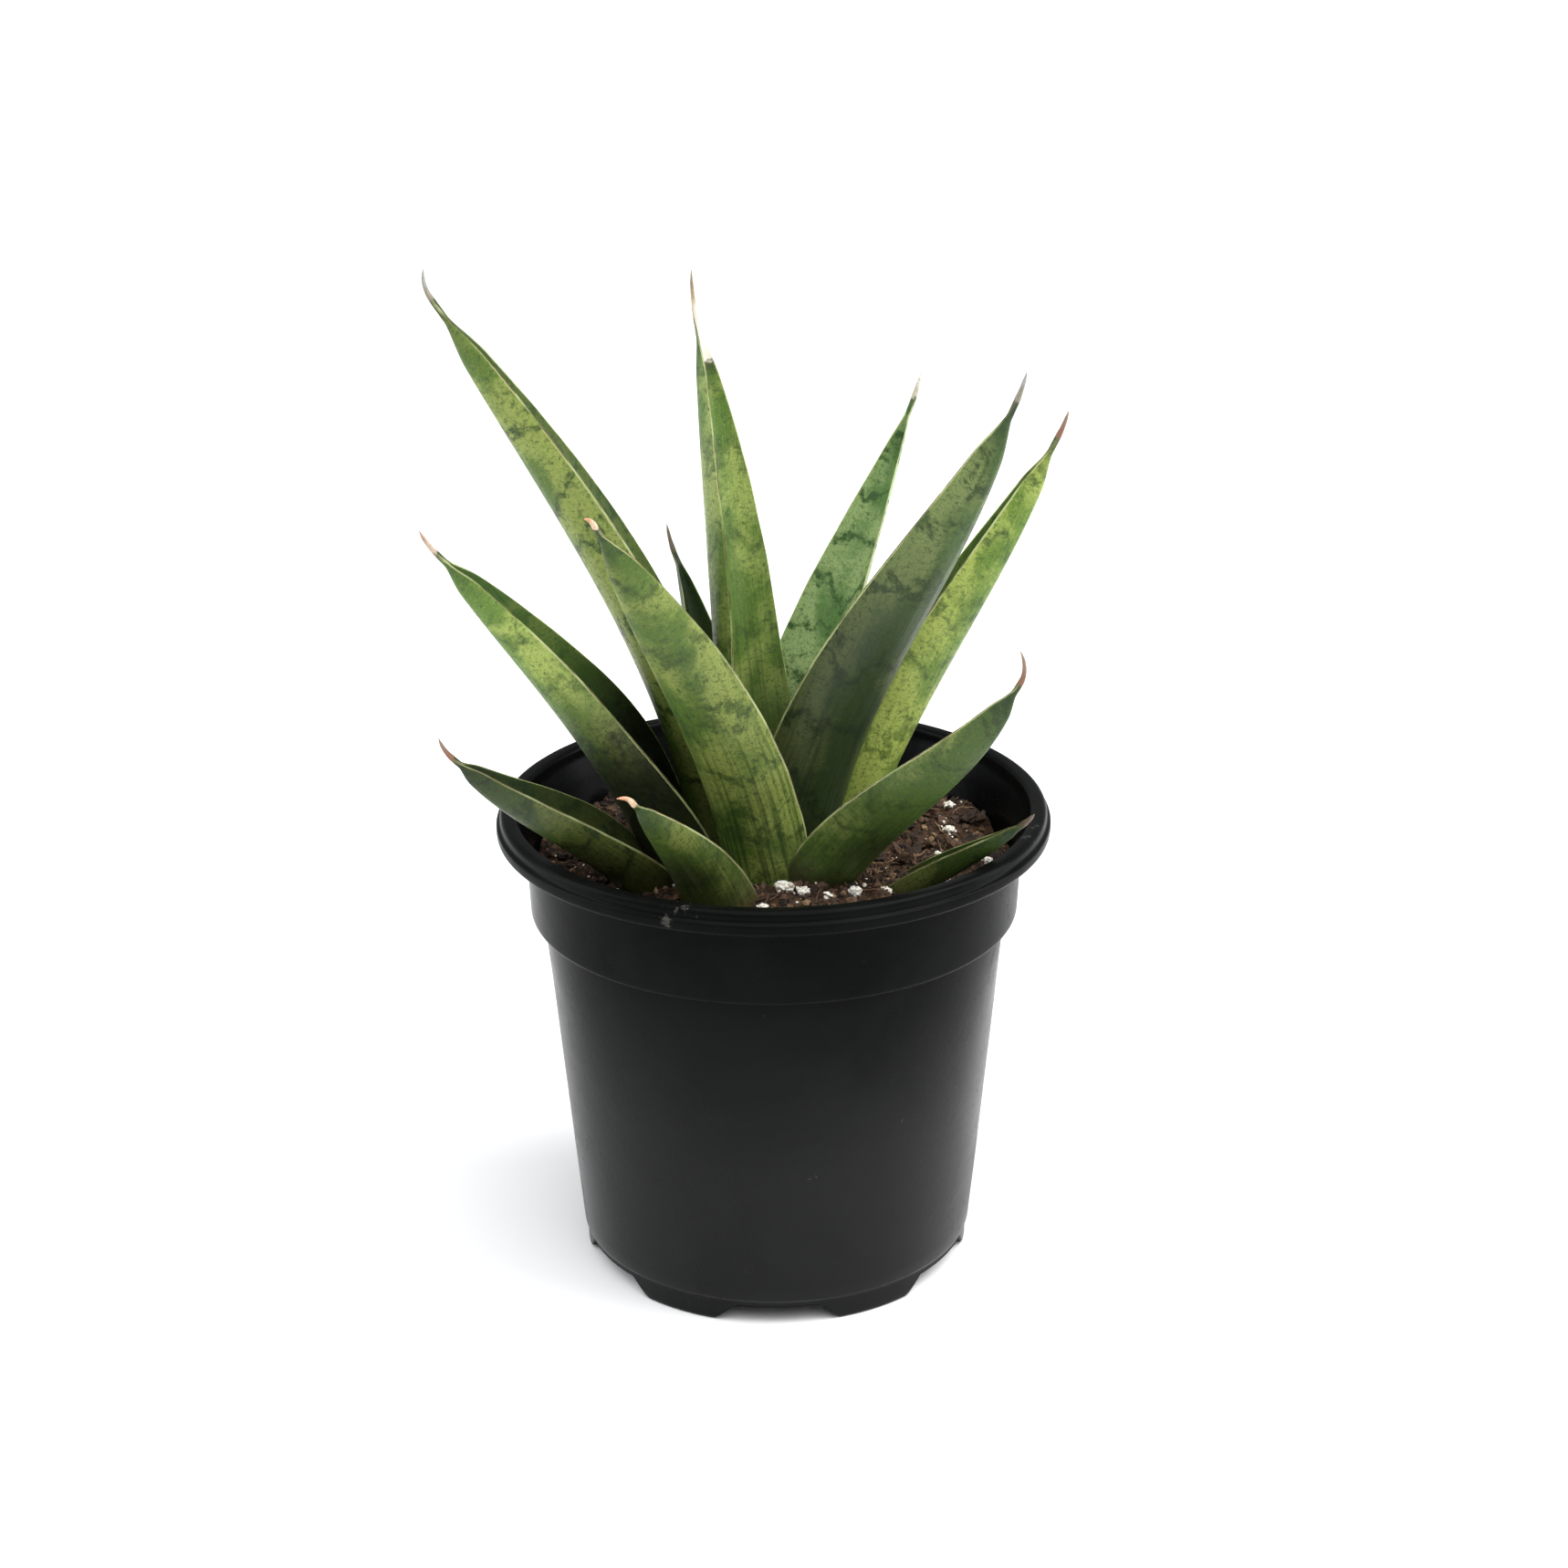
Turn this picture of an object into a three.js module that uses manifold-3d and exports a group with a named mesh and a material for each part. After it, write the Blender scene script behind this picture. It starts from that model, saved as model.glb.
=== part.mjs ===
// Snake plant in a round nursery pot: pot, potting soil, rhizome, leaves, perlite grains and peat lumps.
// Millimetres and degrees, +Z up. The origin is on the pot's axis, on the surface that it stands on.
// Azimuth 0 is +X and 90 is +Y. A lean is measured from straight up.
import * as THREE from "three";
import { ConvexGeometry } from "three/addons/geometries/ConvexGeometry.js";
import { mergeVertices } from "three/addons/utils/BufferGeometryUtils.js";
import Module from "manifold-3d";

const wasm = await Module();
wasm.setup();

// ---- Driving dimensions ----

const FIT_GAP = 0.3; // clear space between pieces that touch

// Pot
const POT_HEIGHT = 99.4;
const BODY_RADIUS = 48; // outside, just under the collar
const BODY_TAPER = 6.6; // how much the body narrows on its way down to the seam
const FOOT_STEP = 0.7; // how far the foot stands in from the body
const COLLAR_STEP = 2.5; // how far the collar stands out from the body
const COLLAR_FLARE = 0.8; // how much the collar widens on its way up to the rim
const COLLAR_DEPTH = 22.6; // from the rim's top to the step under the collar
const RIM_OVERHANG = 5.7; // how far the rim stands out from the collar
const RIM_WIDTH = 4.8;
const RIM_DEPTH = 5;
const SEAM_HEIGHT = 5.2; // fine line around the foot
const WALL = 1.3;
const FLOOR = 1.5;
const POT_SEGMENTS = 60;

const BODY_BOTTOM_RADIUS = BODY_RADIUS - BODY_TAPER;
const FOOT_RADIUS = BODY_BOTTOM_RADIUS - FOOT_STEP;
const COLLAR_BOTTOM_RADIUS = BODY_RADIUS + COLLAR_STEP;
const COLLAR_TOP_RADIUS = COLLAR_BOTTOM_RADIUS + COLLAR_FLARE;
const RIM_RADIUS = COLLAR_TOP_RADIUS + RIM_OVERHANG;

// Drainage channels under the floor
const CHANNEL_COUNT = 6;
const CHANNEL_HEIGHT = 3.7;
const CHANNEL_FLOOR_ARC = 38; // width at the standing surface
const CHANNEL_ROOF_ARC = 25; // width at the channel's roof
const CHANNEL_LENGTH = 19.7; // from the foot's edge inwards
const DRAIN_RADIUS = 3.5;
const DRAIN_INSET = 9.7; // from the foot's edge to a drain hole's centre
const FRONT = 270; // azimuth of the first channel

// Soil
const SOIL_DEPTH_BELOW_RIM = 12.4;
const SOIL_MOUND = 4.5; // rise of the soil towards the crown
const SOIL_MOUND_SPREAD = 30;
const SOIL_ROUGHNESS = 0.7;
const SOIL_SECTORS = 36;
const SOIL_RINGS = 8;

const SOIL_LEVEL = POT_HEIGHT - SOIL_DEPTH_BELOW_RIM;
const SOIL_RADIUS = COLLAR_BOTTOM_RADIUS - WALL - 2 * FIT_GAP;

// Rhizome, the short stem under the soil that every leaf grows from
const CROWN_COVER = 11; // soil over the crown
const CROWN_DEPTH = 20;
const CROWN_RADIUS_X = 21;
const CROWN_RADIUS_Y = 18;
const CROWN_CENTRE = [0, -3];
const HEART_CENTRE = [-1, 4]; // the leaves keep the soil out of the space between their bases
const HEART_RADIUS = 16;
const ROOT_COUNT = 5;
const ROOT_RADIUS = 1.8;
const ROOT_LENGTH = 26;

const CROWN_TOP = SOIL_LEVEL - CROWN_COVER;

// Leaves, the innermost first: each later leaf is hollowed where an earlier one presses into it.
// base: x and y of where its middle line starts, and how deep that is under the soil's level;
// azimuth: the way it leans; sweep: how far that turns by the tip; lean: at the base, towards the belly
// and at the tip; cup: channel depth; taper: higher keeps it wide for longer; roll: turn about its own length;
// spine: length of the dry tip.
const LEAVES = [
  {
    name: "leaf_slim_back_right", base: [2, 12, 17], azimuth: 36, sweep: -2, lean: [-10, 42, 21], length: 119,
    width: 18, thick: 4, cup: 5.4, taper: 1.6, roll: 0, spine: 5,
  },
  {
    name: "leaf_centre_back", base: [-6.5, 9.5, 17], azimuth: 122, sweep: -8, lean: [-8, 14, 23], length: 137,
    width: 21, thick: 4, cup: 5.4, taper: 1.9, roll: 0, spine: 16,
  },
  {
    name: "leaf_tall_left", base: [-11, 0, 17], azimuth: 188, sweep: 0, lean: [-5, 39, 32], length: 156,
    width: 22, thick: 4.5, cup: 7.6, taper: 2.0, roll: 0, spine: 8,
  },
  {
    name: "leaf_bright_right", base: [10, 3, 17], azimuth: 357, sweep: -2, lean: [2, 46, 23], length: 123,
    width: 19, thick: 4.5, cup: 8.5, taper: 1.6, roll: 0, spine: 6,
  },
  {
    name: "leaf_broad_right", base: [5, -5, 17], azimuth: 326, sweep: -2, lean: [-8, 53, 21], length: 141,
    width: 24, thick: 5, cup: 8.2, taper: 1.9, roll: 0, spine: 8,
  },
  {
    name: "leaf_hidden_back", base: [-10, 12, 17], azimuth: 124, sweep: 0, lean: [-1, 11, 36], length: 84,
    width: 15, thick: 3.6, cup: 4.5, taper: 1.6, roll: 0, spine: 5,
  },
  {
    name: "leaf_mid_left", base: [-15, -4, 17], azimuth: 200, sweep: 0, lean: [6, 47, 39], length: 112,
    width: 21, thick: 5, cup: 8.4, taper: 1.6, roll: 0, spine: 5,
  },
  {
    name: "leaf_broad_front", base: [-3, -14, 17], azimuth: 225, sweep: -3, lean: [-7, 43, 30], length: 115,
    width: 21, thick: 4.8, cup: 7.2, taper: 2.5, roll: 0, spine: 3,
  },
  {
    name: "leaf_low_right", base: [6, -13, 10], azimuth: 322, sweep: -6, lean: [16, 76, 23], length: 92,
    width: 17.5, thick: 4.4, cup: 6.8, taper: 1.7, roll: 0, spine: 8,
  },
  {
    name: "leaf_low_left", base: [-19, -12, 13.5], azimuth: 208, sweep: 0, lean: [13, 83, 36], length: 76,
    width: 16, thick: 4.3, cup: 5.6, taper: 1.8, roll: 0, spine: 5,
  },
  {
    name: "leaf_short_front", base: [-10.5, -23, 13], azimuth: 237, sweep: 4, lean: [0, 66, 39], length: 62,
    width: 17, thick: 4, cup: 5, taper: 1.6, roll: 0, spine: 5,
  },
  {
    name: "leaf_soil_right", base: [17, -15, 11], azimuth: 332, sweep: -3, lean: [31, 71, 45], length: SOIL_RADIUS + 3.4,
    width: 9, thick: 3, cup: 3, taper: 1.6, roll: 0, spine: 3,
  },
];
const LEAF_BASE_SHARE = 0.62; // width at the base, as a share of the full width
const LEAF_FULL_WIDTH_AT = 0.28; // share of the length where the leaf is widest
const SPINE_RADIUS = 0.7;
const SPINE_END_RADIUS = 0.35;
const LEAF_STATIONS = [0, 0.07, 0.14, 0.21, 0.29, 0.38, 0.48, 0.58, 0.68, 0.77, 0.85, 0.92, 0.97, 1];
const OUTER_STEPS = 8; // facets across the outer side of a leaf
const INNER_STEPS = 4; // facets across its channel

// Loose pieces lying in the soil: [azimuth, place, size across]. A place of 0 is at the inner edge of the
// open soil around the leaves, 1 is at the pot's wall.
const OPEN_SOIL_RADIUS = 20;
const PERLITE = [
  [275, 0.17, 4.4], [283, 0.25, 3.2], [266, 0.4, 2.8], [291, 0.33, 2.8], [302, 0.36, 3.4], [312, 0.46, 3.2],
  [16, 0.64, 3.4], [30, 0.82, 3], [352, 0.5, 2.6], [335, 0.62, 3], [54, 0.6, 3], [78, 0.66, 3.8],
  [101, 0.37, 3.2], [118, 0.65, 3.4], [141, 0.65, 3.8], [164, 0.72, 3], [183, 0.6, 3.4], [228, 0.75, 3],
  [246, 0.72, 3.2], [289, 0.72, 3.2], [352, 0.85, 2.8],
];
const PEAT_LUMPS = [
  [341, 0.3, 5.6], [8, 0.38, 5.4], [50, 0.36, 6], [95, 0.8, 5], [150, 0.28, 6.4], [172, 0.5, 5.2],
  [301, 0.62, 5.2], [338, 0.84, 4.4],
];
const GRAIN_SUNK = 0.35; // share of a grain's height that lies in the soil
const GRAIN_POINTS = 11;

// ---- Materials ----

const potPlastic = new THREE.MeshStandardMaterial({ color: 0x15171a, roughness: 0.42, metalness: 0 });
const soilPeat = new THREE.MeshStandardMaterial({ color: 0x38271c, roughness: 0.95, metalness: 0 });
const rootFlesh = new THREE.MeshStandardMaterial({ color: 0xb98a4e, roughness: 0.8, metalness: 0 });
const leafGreen = new THREE.MeshStandardMaterial({ color: 0x5f8442, roughness: 0.45, metalness: 0 });
const perliteWhite = new THREE.MeshStandardMaterial({ color: 0xe9e2d2, roughness: 0.9, metalness: 0 });

// ---- Helpers ----

const radians = THREE.MathUtils.degToRad;

// 0 before `from`, 1 after `to`, smooth between them.
function rise(value, from, to) {
  return THREE.MathUtils.smoothstep(value, from, to);
}

function direction(azimuth) {
  return [Math.cos(radians(azimuth)), Math.sin(radians(azimuth))];
}

// A closed body through rings of points. Each ring turns counterclockwise about the way from one to the next.
function loft(rings, capOutline) {
  const count = rings[0].length;
  const positions = rings.flat().flatMap((point) => point.toArray());
  const faces = [];
  for (let ring = 0; ring + 1 < rings.length; ring += 1) {
    for (let step = 0; step < count; step += 1) {
      const next = (step + 1) % count;
      const a = ring * count + step;
      const b = ring * count + next;
      faces.push(a, b, b + count, a, b + count, a + count);
    }
  }
  const last = (rings.length - 1) * count;
  for (const [a, b, c] of THREE.ShapeUtils.triangulateShape(capOutline, [])) {
    faces.push(c, b, a, last + a, last + b, last + c);
  }
  const geometry = new THREE.BufferGeometry();
  geometry.setAttribute("position", new THREE.Float32BufferAttribute(positions, 3));
  geometry.setIndex(faces);
  return geometry;
}

function solidOf(geometry) {
  const bare = geometry.clone();
  bare.deleteAttribute("normal");
  bare.deleteAttribute("uv");
  const merged = mergeVertices(bare, 1e-4);
  const mesh = new wasm.Mesh({
    numProp: 3,
    vertProperties: merged.attributes.position.array,
    triVerts: new Uint32Array(merged.index.array),
  });
  return new wasm.Manifold(mesh);
}

function geometryOf(solid) {
  const mesh = solid.getMesh();
  const geometry = new THREE.BufferGeometry();
  geometry.setAttribute("position", new THREE.Float32BufferAttribute(mesh.vertProperties, 3));
  geometry.setIndex(Array.from(mesh.triVerts));
  return geometry.toNonIndexed();
}

function named(name, solid, material) {
  const geometry = geometryOf(solid);
  geometry.computeVertexNormals();
  const mesh = new THREE.Mesh(geometry, material);
  mesh.name = name;
  return mesh;
}

// Revolves an outline of [radius, height] points about +Z.
function revolve(outline) {
  const points = outline.map(([radius, height]) => new THREE.Vector2(radius, height));
  return new THREE.LatheGeometry(points, POT_SEGMENTS).rotateX(Math.PI / 2);
}

// ---- Pot ----

function rimOutline() {
  const middle = RIM_RADIUS - RIM_WIDTH / 2;
  const top = POT_HEIGHT - RIM_WIDTH / 2;
  const points = [[RIM_RADIUS - 0.4, POT_HEIGHT - RIM_DEPTH], [RIM_RADIUS, POT_HEIGHT - RIM_DEPTH / 2]];
  for (const angle of [35, 65, 90, 120, 150]) {
    points.push([
      middle + (RIM_WIDTH / 2) * Math.cos(radians(angle)),
      top + (RIM_WIDTH / 2) * Math.sin(radians(angle)),
    ]);
  }
  return points;
}

function potOutline() {
  const step = POT_HEIGHT - COLLAR_DEPTH;
  return [
    [0, 0],
    [FOOT_RADIUS - 0.8, 0],
    [FOOT_RADIUS, 0.8],
    [FOOT_RADIUS + 0.1, SEAM_HEIGHT],
    [BODY_BOTTOM_RADIUS, SEAM_HEIGHT + 0.3],
    [BODY_RADIUS, step],
    [COLLAR_BOTTOM_RADIUS - 0.7, step],
    [COLLAR_BOTTOM_RADIUS, step + 1.2],
    [COLLAR_TOP_RADIUS, POT_HEIGHT - RIM_DEPTH],
    ...rimOutline(),
    [COLLAR_TOP_RADIUS - WALL, POT_HEIGHT - RIM_DEPTH],
    [COLLAR_BOTTOM_RADIUS - WALL, step + 1.2],
    [BODY_RADIUS - WALL, step - WALL],
    [BODY_BOTTOM_RADIUS - WALL, SEAM_HEIGHT + 0.3],
    [FOOT_RADIUS - WALL - 0.6, FLOOR],
    [0, FLOOR],
  ];
}

// A wedge that opens outwards, with slanted ends: one drainage channel, or its cover when `skin` is above 0.
function channelWedge(azimuth, skin, reach) {
  const inner = FOOT_RADIUS - CHANNEL_LENGTH - skin;
  const below = skin > 0 ? FLOOR / 2 : -1;
  const corners = [];
  for (const radius of [inner, reach]) {
    for (const [height, arc] of [[below, CHANNEL_FLOOR_ARC], [CHANNEL_HEIGHT + skin, CHANNEL_ROOF_ARC]]) {
      for (const side of [-1, 1]) {
        const [x, y] = direction(azimuth + (side * arc) / 2);
        const [acrossX, acrossY] = direction(azimuth + 90);
        corners.push(new THREE.Vector3(
          radius * x + side * skin * acrossX,
          radius * y + side * skin * acrossY,
          height,
        ));
      }
    }
  }
  return solidOf(new ConvexGeometry(corners));
}

function drainHole(azimuth) {
  const [x, y] = direction(azimuth);
  const tall = CHANNEL_HEIGHT + FLOOR;
  const hole = new THREE.CylinderGeometry(DRAIN_RADIUS, DRAIN_RADIUS, 2 * tall, 16).rotateX(Math.PI / 2);
  const ring = FOOT_RADIUS - DRAIN_INSET;
  return solidOf(hole.translate(ring * x, ring * y, tall));
}

function channelAzimuths() {
  return Array.from({ length: CHANNEL_COUNT }, (_, index) => FRONT + (index * 360) / CHANNEL_COUNT);
}

function potSolid() {
  let pot = solidOf(revolve(potOutline()));
  for (const azimuth of channelAzimuths()) {
    pot = pot.add(channelWedge(azimuth, FLOOR, FOOT_RADIUS - WALL));
  }
  for (const azimuth of channelAzimuths()) {
    pot = pot.subtract(channelWedge(azimuth, 0, RIM_RADIUS)).subtract(drainHole(azimuth));
  }
  return pot;
}

// ---- Soil ----

// Height of the soil's surface over a point.
function soilHeight(x, y) {
  const fromCrown = Math.hypot(x - CROWN_CENTRE[0], y - CROWN_CENTRE[1]) / SOIL_MOUND_SPREAD;
  const mound = SOIL_MOUND * Math.exp(-fromCrown * fromCrown);
  const waves = Math.sin(0.31 * x + 1.3) * Math.cos(0.27 * y) + Math.sin(0.17 * x - 0.23 * y);
  return SOIL_LEVEL + mound + SOIL_ROUGHNESS * waves;
}

// Radius of the pot's inside at a height, less the gap that the soil keeps to it.
function soilRadius(height) {
  const step = POT_HEIGHT - COLLAR_DEPTH;
  const seam = SEAM_HEIGHT + 0.3;
  const share = (height - seam) / (step - WALL - seam);
  const body = BODY_BOTTOM_RADIUS + share * (BODY_RADIUS - BODY_BOTTOM_RADIUS);
  const foot = FOOT_RADIUS - 0.6;
  return (height < seam ? foot : body) - WALL - 2 * FIT_GAP;
}

function circle(radius, heightAt) {
  return Array.from({ length: SOIL_SECTORS }, (_, index) => {
    const [x, y] = direction((index * 360) / SOIL_SECTORS);
    return new THREE.Vector3(radius * x, radius * y, heightAt(radius * x, radius * y));
  });
}

function soilBody() {
  const step = POT_HEIGHT - COLLAR_DEPTH;
  const floor = FLOOR + FIT_GAP;
  const seam = SEAM_HEIGHT + 0.3;
  const rings = [
    circle(soilRadius(floor), () => floor),
    circle(soilRadius(seam), () => seam),
    circle(soilRadius(step - WALL), () => step - WALL),
    circle(SOIL_RADIUS, () => step + 1.2 + FIT_GAP),
  ];
  for (let ring = SOIL_RINGS; ring > 0; ring -= 1) {
    rings.push(circle((SOIL_RADIUS * ring) / SOIL_RINGS, soilHeight));
  }
  return solidOf(loft(rings, rings[0].map((point) => new THREE.Vector2(point.x, point.y))));
}

// ---- Rhizome ----

function crownBody(gap) {
  const geometry = new THREE.SphereGeometry(1, 14, 8);
  geometry.scale(CROWN_RADIUS_X + gap, CROWN_RADIUS_Y + gap, CROWN_DEPTH / 2 + gap);
  return solidOf(geometry.translate(...CROWN_CENTRE, CROWN_TOP - CROWN_DEPTH / 2));
}

function rootBody(index, gap) {
  const [x, y] = direction((index * 360) / ROOT_COUNT + 20);
  const top = CROWN_TOP - CROWN_DEPTH * 0.6;
  const spread = CROWN_RADIUS_Y * 0.5;
  const path = new THREE.CatmullRomCurve3([0, 0.4, 0.75, 1].map((share) => new THREE.Vector3(
    CROWN_CENTRE[0] + x * (spread + 9 * share),
    CROWN_CENTRE[1] + y * (spread + 9 * share),
    top - (ROOT_LENGTH + gap) * share,
  )));
  const section = new THREE.Shape().absarc(0, 0, ROOT_RADIUS + gap, 0, 2 * Math.PI, false);
  return solidOf(new THREE.ExtrudeGeometry(section, { steps: 4, curveSegments: 3, extrudePath: path }));
}

// The space between the leaf bases, from the crown up to the open air.
function heartSpace() {
  const tall = SOIL_DEPTH_BELOW_RIM + CROWN_DEPTH;
  const geometry = new THREE.CylinderGeometry(HEART_RADIUS, HEART_RADIUS, tall, 12).rotateX(Math.PI / 2);
  return solidOf(geometry.translate(...HEART_CENTRE, CROWN_TOP - CROWN_DEPTH / 2 + tall / 2));
}

function rhizomeBody(gap) {
  let body = crownBody(gap);
  for (let index = 0; index < ROOT_COUNT; index += 1) {
    body = body.add(rootBody(index, gap));
  }
  return body;
}

// ---- Leaves ----

// Point on the leaf's middle line and the frame there, at a share of its length.
function leafFrame(leaf, share) {
  const steps = 48;
  const [baseX, baseY, depth] = leaf.base;
  const point = new THREE.Vector3(baseX, baseY, SOIL_LEVEL - depth);
  const along = new THREE.Vector3();
  const aim = (at) => {
    const [base, belly, tip] = leaf.lean;
    const lean = radians(base * (1 - at) ** 2 + 2 * belly * at * (1 - at) + tip * at ** 2);
    const azimuth = radians(leaf.azimuth + leaf.sweep * at);
    along.set(Math.sin(lean) * Math.cos(azimuth), Math.sin(lean) * Math.sin(azimuth), Math.cos(lean));
    return { lean, azimuth };
  };
  for (let step = 0; step < steps; step += 1) {
    aim(((step + 0.5) / steps) * share);
    point.addScaledVector(along, (leaf.length * share) / steps);
  }
  const { lean, azimuth } = aim(share);
  const inward = new THREE.Vector3(
    -Math.cos(lean) * Math.cos(azimuth),
    -Math.cos(lean) * Math.sin(azimuth),
    Math.sin(lean),
  );
  inward.applyAxisAngle(along, radians(leaf.roll));
  const across = new THREE.Vector3().crossVectors(inward, along);
  return { point, along, inward, across };
}

// Half width, outer depth and channel depth of the leaf's section at a share of its green length.
function leafSection(leaf, share) {
  const past = Math.max(0, (share - LEAF_FULL_WIDTH_AT) / (1 - LEAF_FULL_WIDTH_AT));
  const taper = 1 - past ** leaf.taper;
  const spread = LEAF_BASE_SHARE + (1 - LEAF_BASE_SHARE) * rise(share, 0, LEAF_FULL_WIDTH_AT);
  const half = Math.max((leaf.width / 2) * spread * taper ** 1.1, SPINE_RADIUS);
  const thick = Math.max(leaf.thick * taper ** 0.6, 2 * SPINE_RADIUS);
  const closed = rise(share, 0.9, 1);
  const cup = leaf.cup * spread * taper ** 0.7 * (1 - closed) - SPINE_RADIUS * closed;
  return { half, outer: cup + thick, cup };
}

// The crescent across a leaf. With a gap it stands clear of the plain section by that much all round.
function sectionOutline({ half, outer, cup }, gap) {
  const points = [];
  const margin = (outer + Math.min(cup, 0)) / 2 + 3 * gap;
  for (let step = 0; step <= OUTER_STEPS; step += 1) {
    const angle = Math.PI * (1 + step / OUTER_STEPS);
    const below = (outer + 5 * gap) * Math.sin(angle);
    points.push(new THREE.Vector2((half + gap) * Math.cos(angle), margin + below));
  }
  for (let step = 1; step < INNER_STEPS; step += 1) {
    const side = Math.cos((Math.PI * step) / INNER_STEPS);
    const reach = half - Math.min(2 * gap, half / 2);
    points.push(new THREE.Vector2(reach * side, margin - (cup + 2 * gap) * (1 - side * side)));
  }
  return points;
}

function leafRing(frame, outline) {
  return outline.map((corner) => frame.point.clone()
    .addScaledVector(frame.across, corner.x)
    .addScaledVector(frame.inward, corner.y));
}

function leafBody(leaf, gap) {
  const greenShare = 1 - leaf.spine / leaf.length;
  const rings = [];
  const outlines = [];
  for (const station of LEAF_STATIONS) {
    const frame = leafFrame(leaf, station * greenShare);
    if (station === 0) {
      frame.point.addScaledVector(frame.along, -gap);
    }
    outlines.push(sectionOutline(leafSection(leaf, station), gap));
    rings.push(leafRing(frame, outlines.at(-1)));
  }
  const end = { half: SPINE_END_RADIUS, outer: SPINE_END_RADIUS, cup: -SPINE_END_RADIUS };
  rings.push(leafRing(leafFrame(leaf, 1), sectionOutline(end, gap)));
  return solidOf(loft(rings, outlines[0]));
}

// ---- Loose grains ----

// An uneven stone shape, cut from points spread evenly over a sphere.
function grainBody([azimuth, place, size], index, flatness, gap) {
  const [aimX, aimY] = direction(azimuth);
  const fromAxis = OPEN_SOIL_RADIUS + place * (SOIL_RADIUS - OPEN_SOIL_RADIUS);
  const x = fromAxis * aimX;
  const y = fromAxis * aimY;
  const corners = [];
  for (let step = 0; step < GRAIN_POINTS; step += 1) {
    const height = 1 - (2 * step + 1) / GRAIN_POINTS;
    const [turnX, turnY] = direction(137.5 * step + 61 * index);
    const radius = (size / 2) * (0.85 + 0.15 * Math.sin(5.3 * step + 2.1 * index)) + gap;
    const level = Math.sqrt(1 - height * height);
    const reach = radius * level;
    corners.push(new THREE.Vector3(reach * turnX, reach * turnY, radius * height * flatness));
  }
  const lift = soilHeight(x, y) + size * flatness * (0.5 - GRAIN_SUNK);
  return solidOf(new ConvexGeometry(corners).translate(x, y, lift));
}

// ---- Assembly ----

const plant = new THREE.Group();
plant.name = "potted_snake_plant";

const cutters = [rhizomeBody(FIT_GAP), heartSpace()];
for (const azimuth of channelAzimuths()) {
  cutters.push(channelWedge(azimuth, FLOOR + FIT_GAP, RIM_RADIUS));
}

let rhizome = rhizomeBody(0);
const leafClearances = [];
for (const leaf of LEAVES) {
  let body = leafBody(leaf, 0);
  for (const neighbour of leafClearances) {
    body = body.subtract(neighbour);
  }
  const clearance = leafBody(leaf, FIT_GAP);
  leafClearances.push(clearance);
  rhizome = rhizome.subtract(clearance);
  plant.add(named(leaf.name, body, leafGreen.clone()));
}

PERLITE.forEach((grain, index) => {
  const name = `perlite_${String(index + 1).padStart(2, "0")}`;
  plant.add(named(name, grainBody(grain, index, 0.85, 0), perliteWhite.clone()));
  cutters.push(grainBody(grain, index, 0.85, FIT_GAP));
});
PEAT_LUMPS.forEach((grain, index) => {
  const name = `peat_lump_${String(index + 1).padStart(2, "0")}`;
  plant.add(named(name, grainBody(grain, index + 40, 0.6, 0), soilPeat.clone()));
  cutters.push(grainBody(grain, index + 40, 0.6, FIT_GAP));
});

let soil = soilBody();
for (const cutter of [...leafClearances, ...cutters]) {
  soil = soil.subtract(cutter);
}

plant.add(named("pot", potSolid(), potPlastic));
plant.add(named("soil", soil, soilPeat.clone()));
plant.add(named("rhizome", rhizome, rootFlesh));

export default plant;
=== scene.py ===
"""Looks of the potted snake plant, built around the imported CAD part.

Sizes are in millimetres until new_object makes them metres; the lights' are in metres.
The frame is the CAD's: +Z up, front at -Y.
"""
import math

import bmesh
import bpy
import numpy as np
from mathutils import Euler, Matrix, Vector


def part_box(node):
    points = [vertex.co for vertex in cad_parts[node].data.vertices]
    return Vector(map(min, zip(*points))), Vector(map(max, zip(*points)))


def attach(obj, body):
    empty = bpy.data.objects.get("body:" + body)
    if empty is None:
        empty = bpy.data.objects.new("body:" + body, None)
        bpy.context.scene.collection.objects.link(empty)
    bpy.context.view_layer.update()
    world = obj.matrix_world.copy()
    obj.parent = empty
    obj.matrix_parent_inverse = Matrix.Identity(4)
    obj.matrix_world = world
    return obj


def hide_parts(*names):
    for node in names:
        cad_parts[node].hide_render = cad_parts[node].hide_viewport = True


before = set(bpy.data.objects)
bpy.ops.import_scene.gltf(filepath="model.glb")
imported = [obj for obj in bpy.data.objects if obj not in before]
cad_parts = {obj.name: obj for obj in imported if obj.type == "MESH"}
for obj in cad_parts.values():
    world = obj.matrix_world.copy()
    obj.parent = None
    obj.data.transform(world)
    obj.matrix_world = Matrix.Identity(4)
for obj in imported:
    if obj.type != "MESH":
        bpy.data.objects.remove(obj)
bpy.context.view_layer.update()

MM = 0.001
BODY = "root"
_, POT_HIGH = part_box("pot")
RIM_RADIUS = POT_HIGH.x / MM
POT_HEIGHT = POT_HIGH.z / MM

# ---- Sizes shared with the CAD, in millimetres and degrees ----

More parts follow.
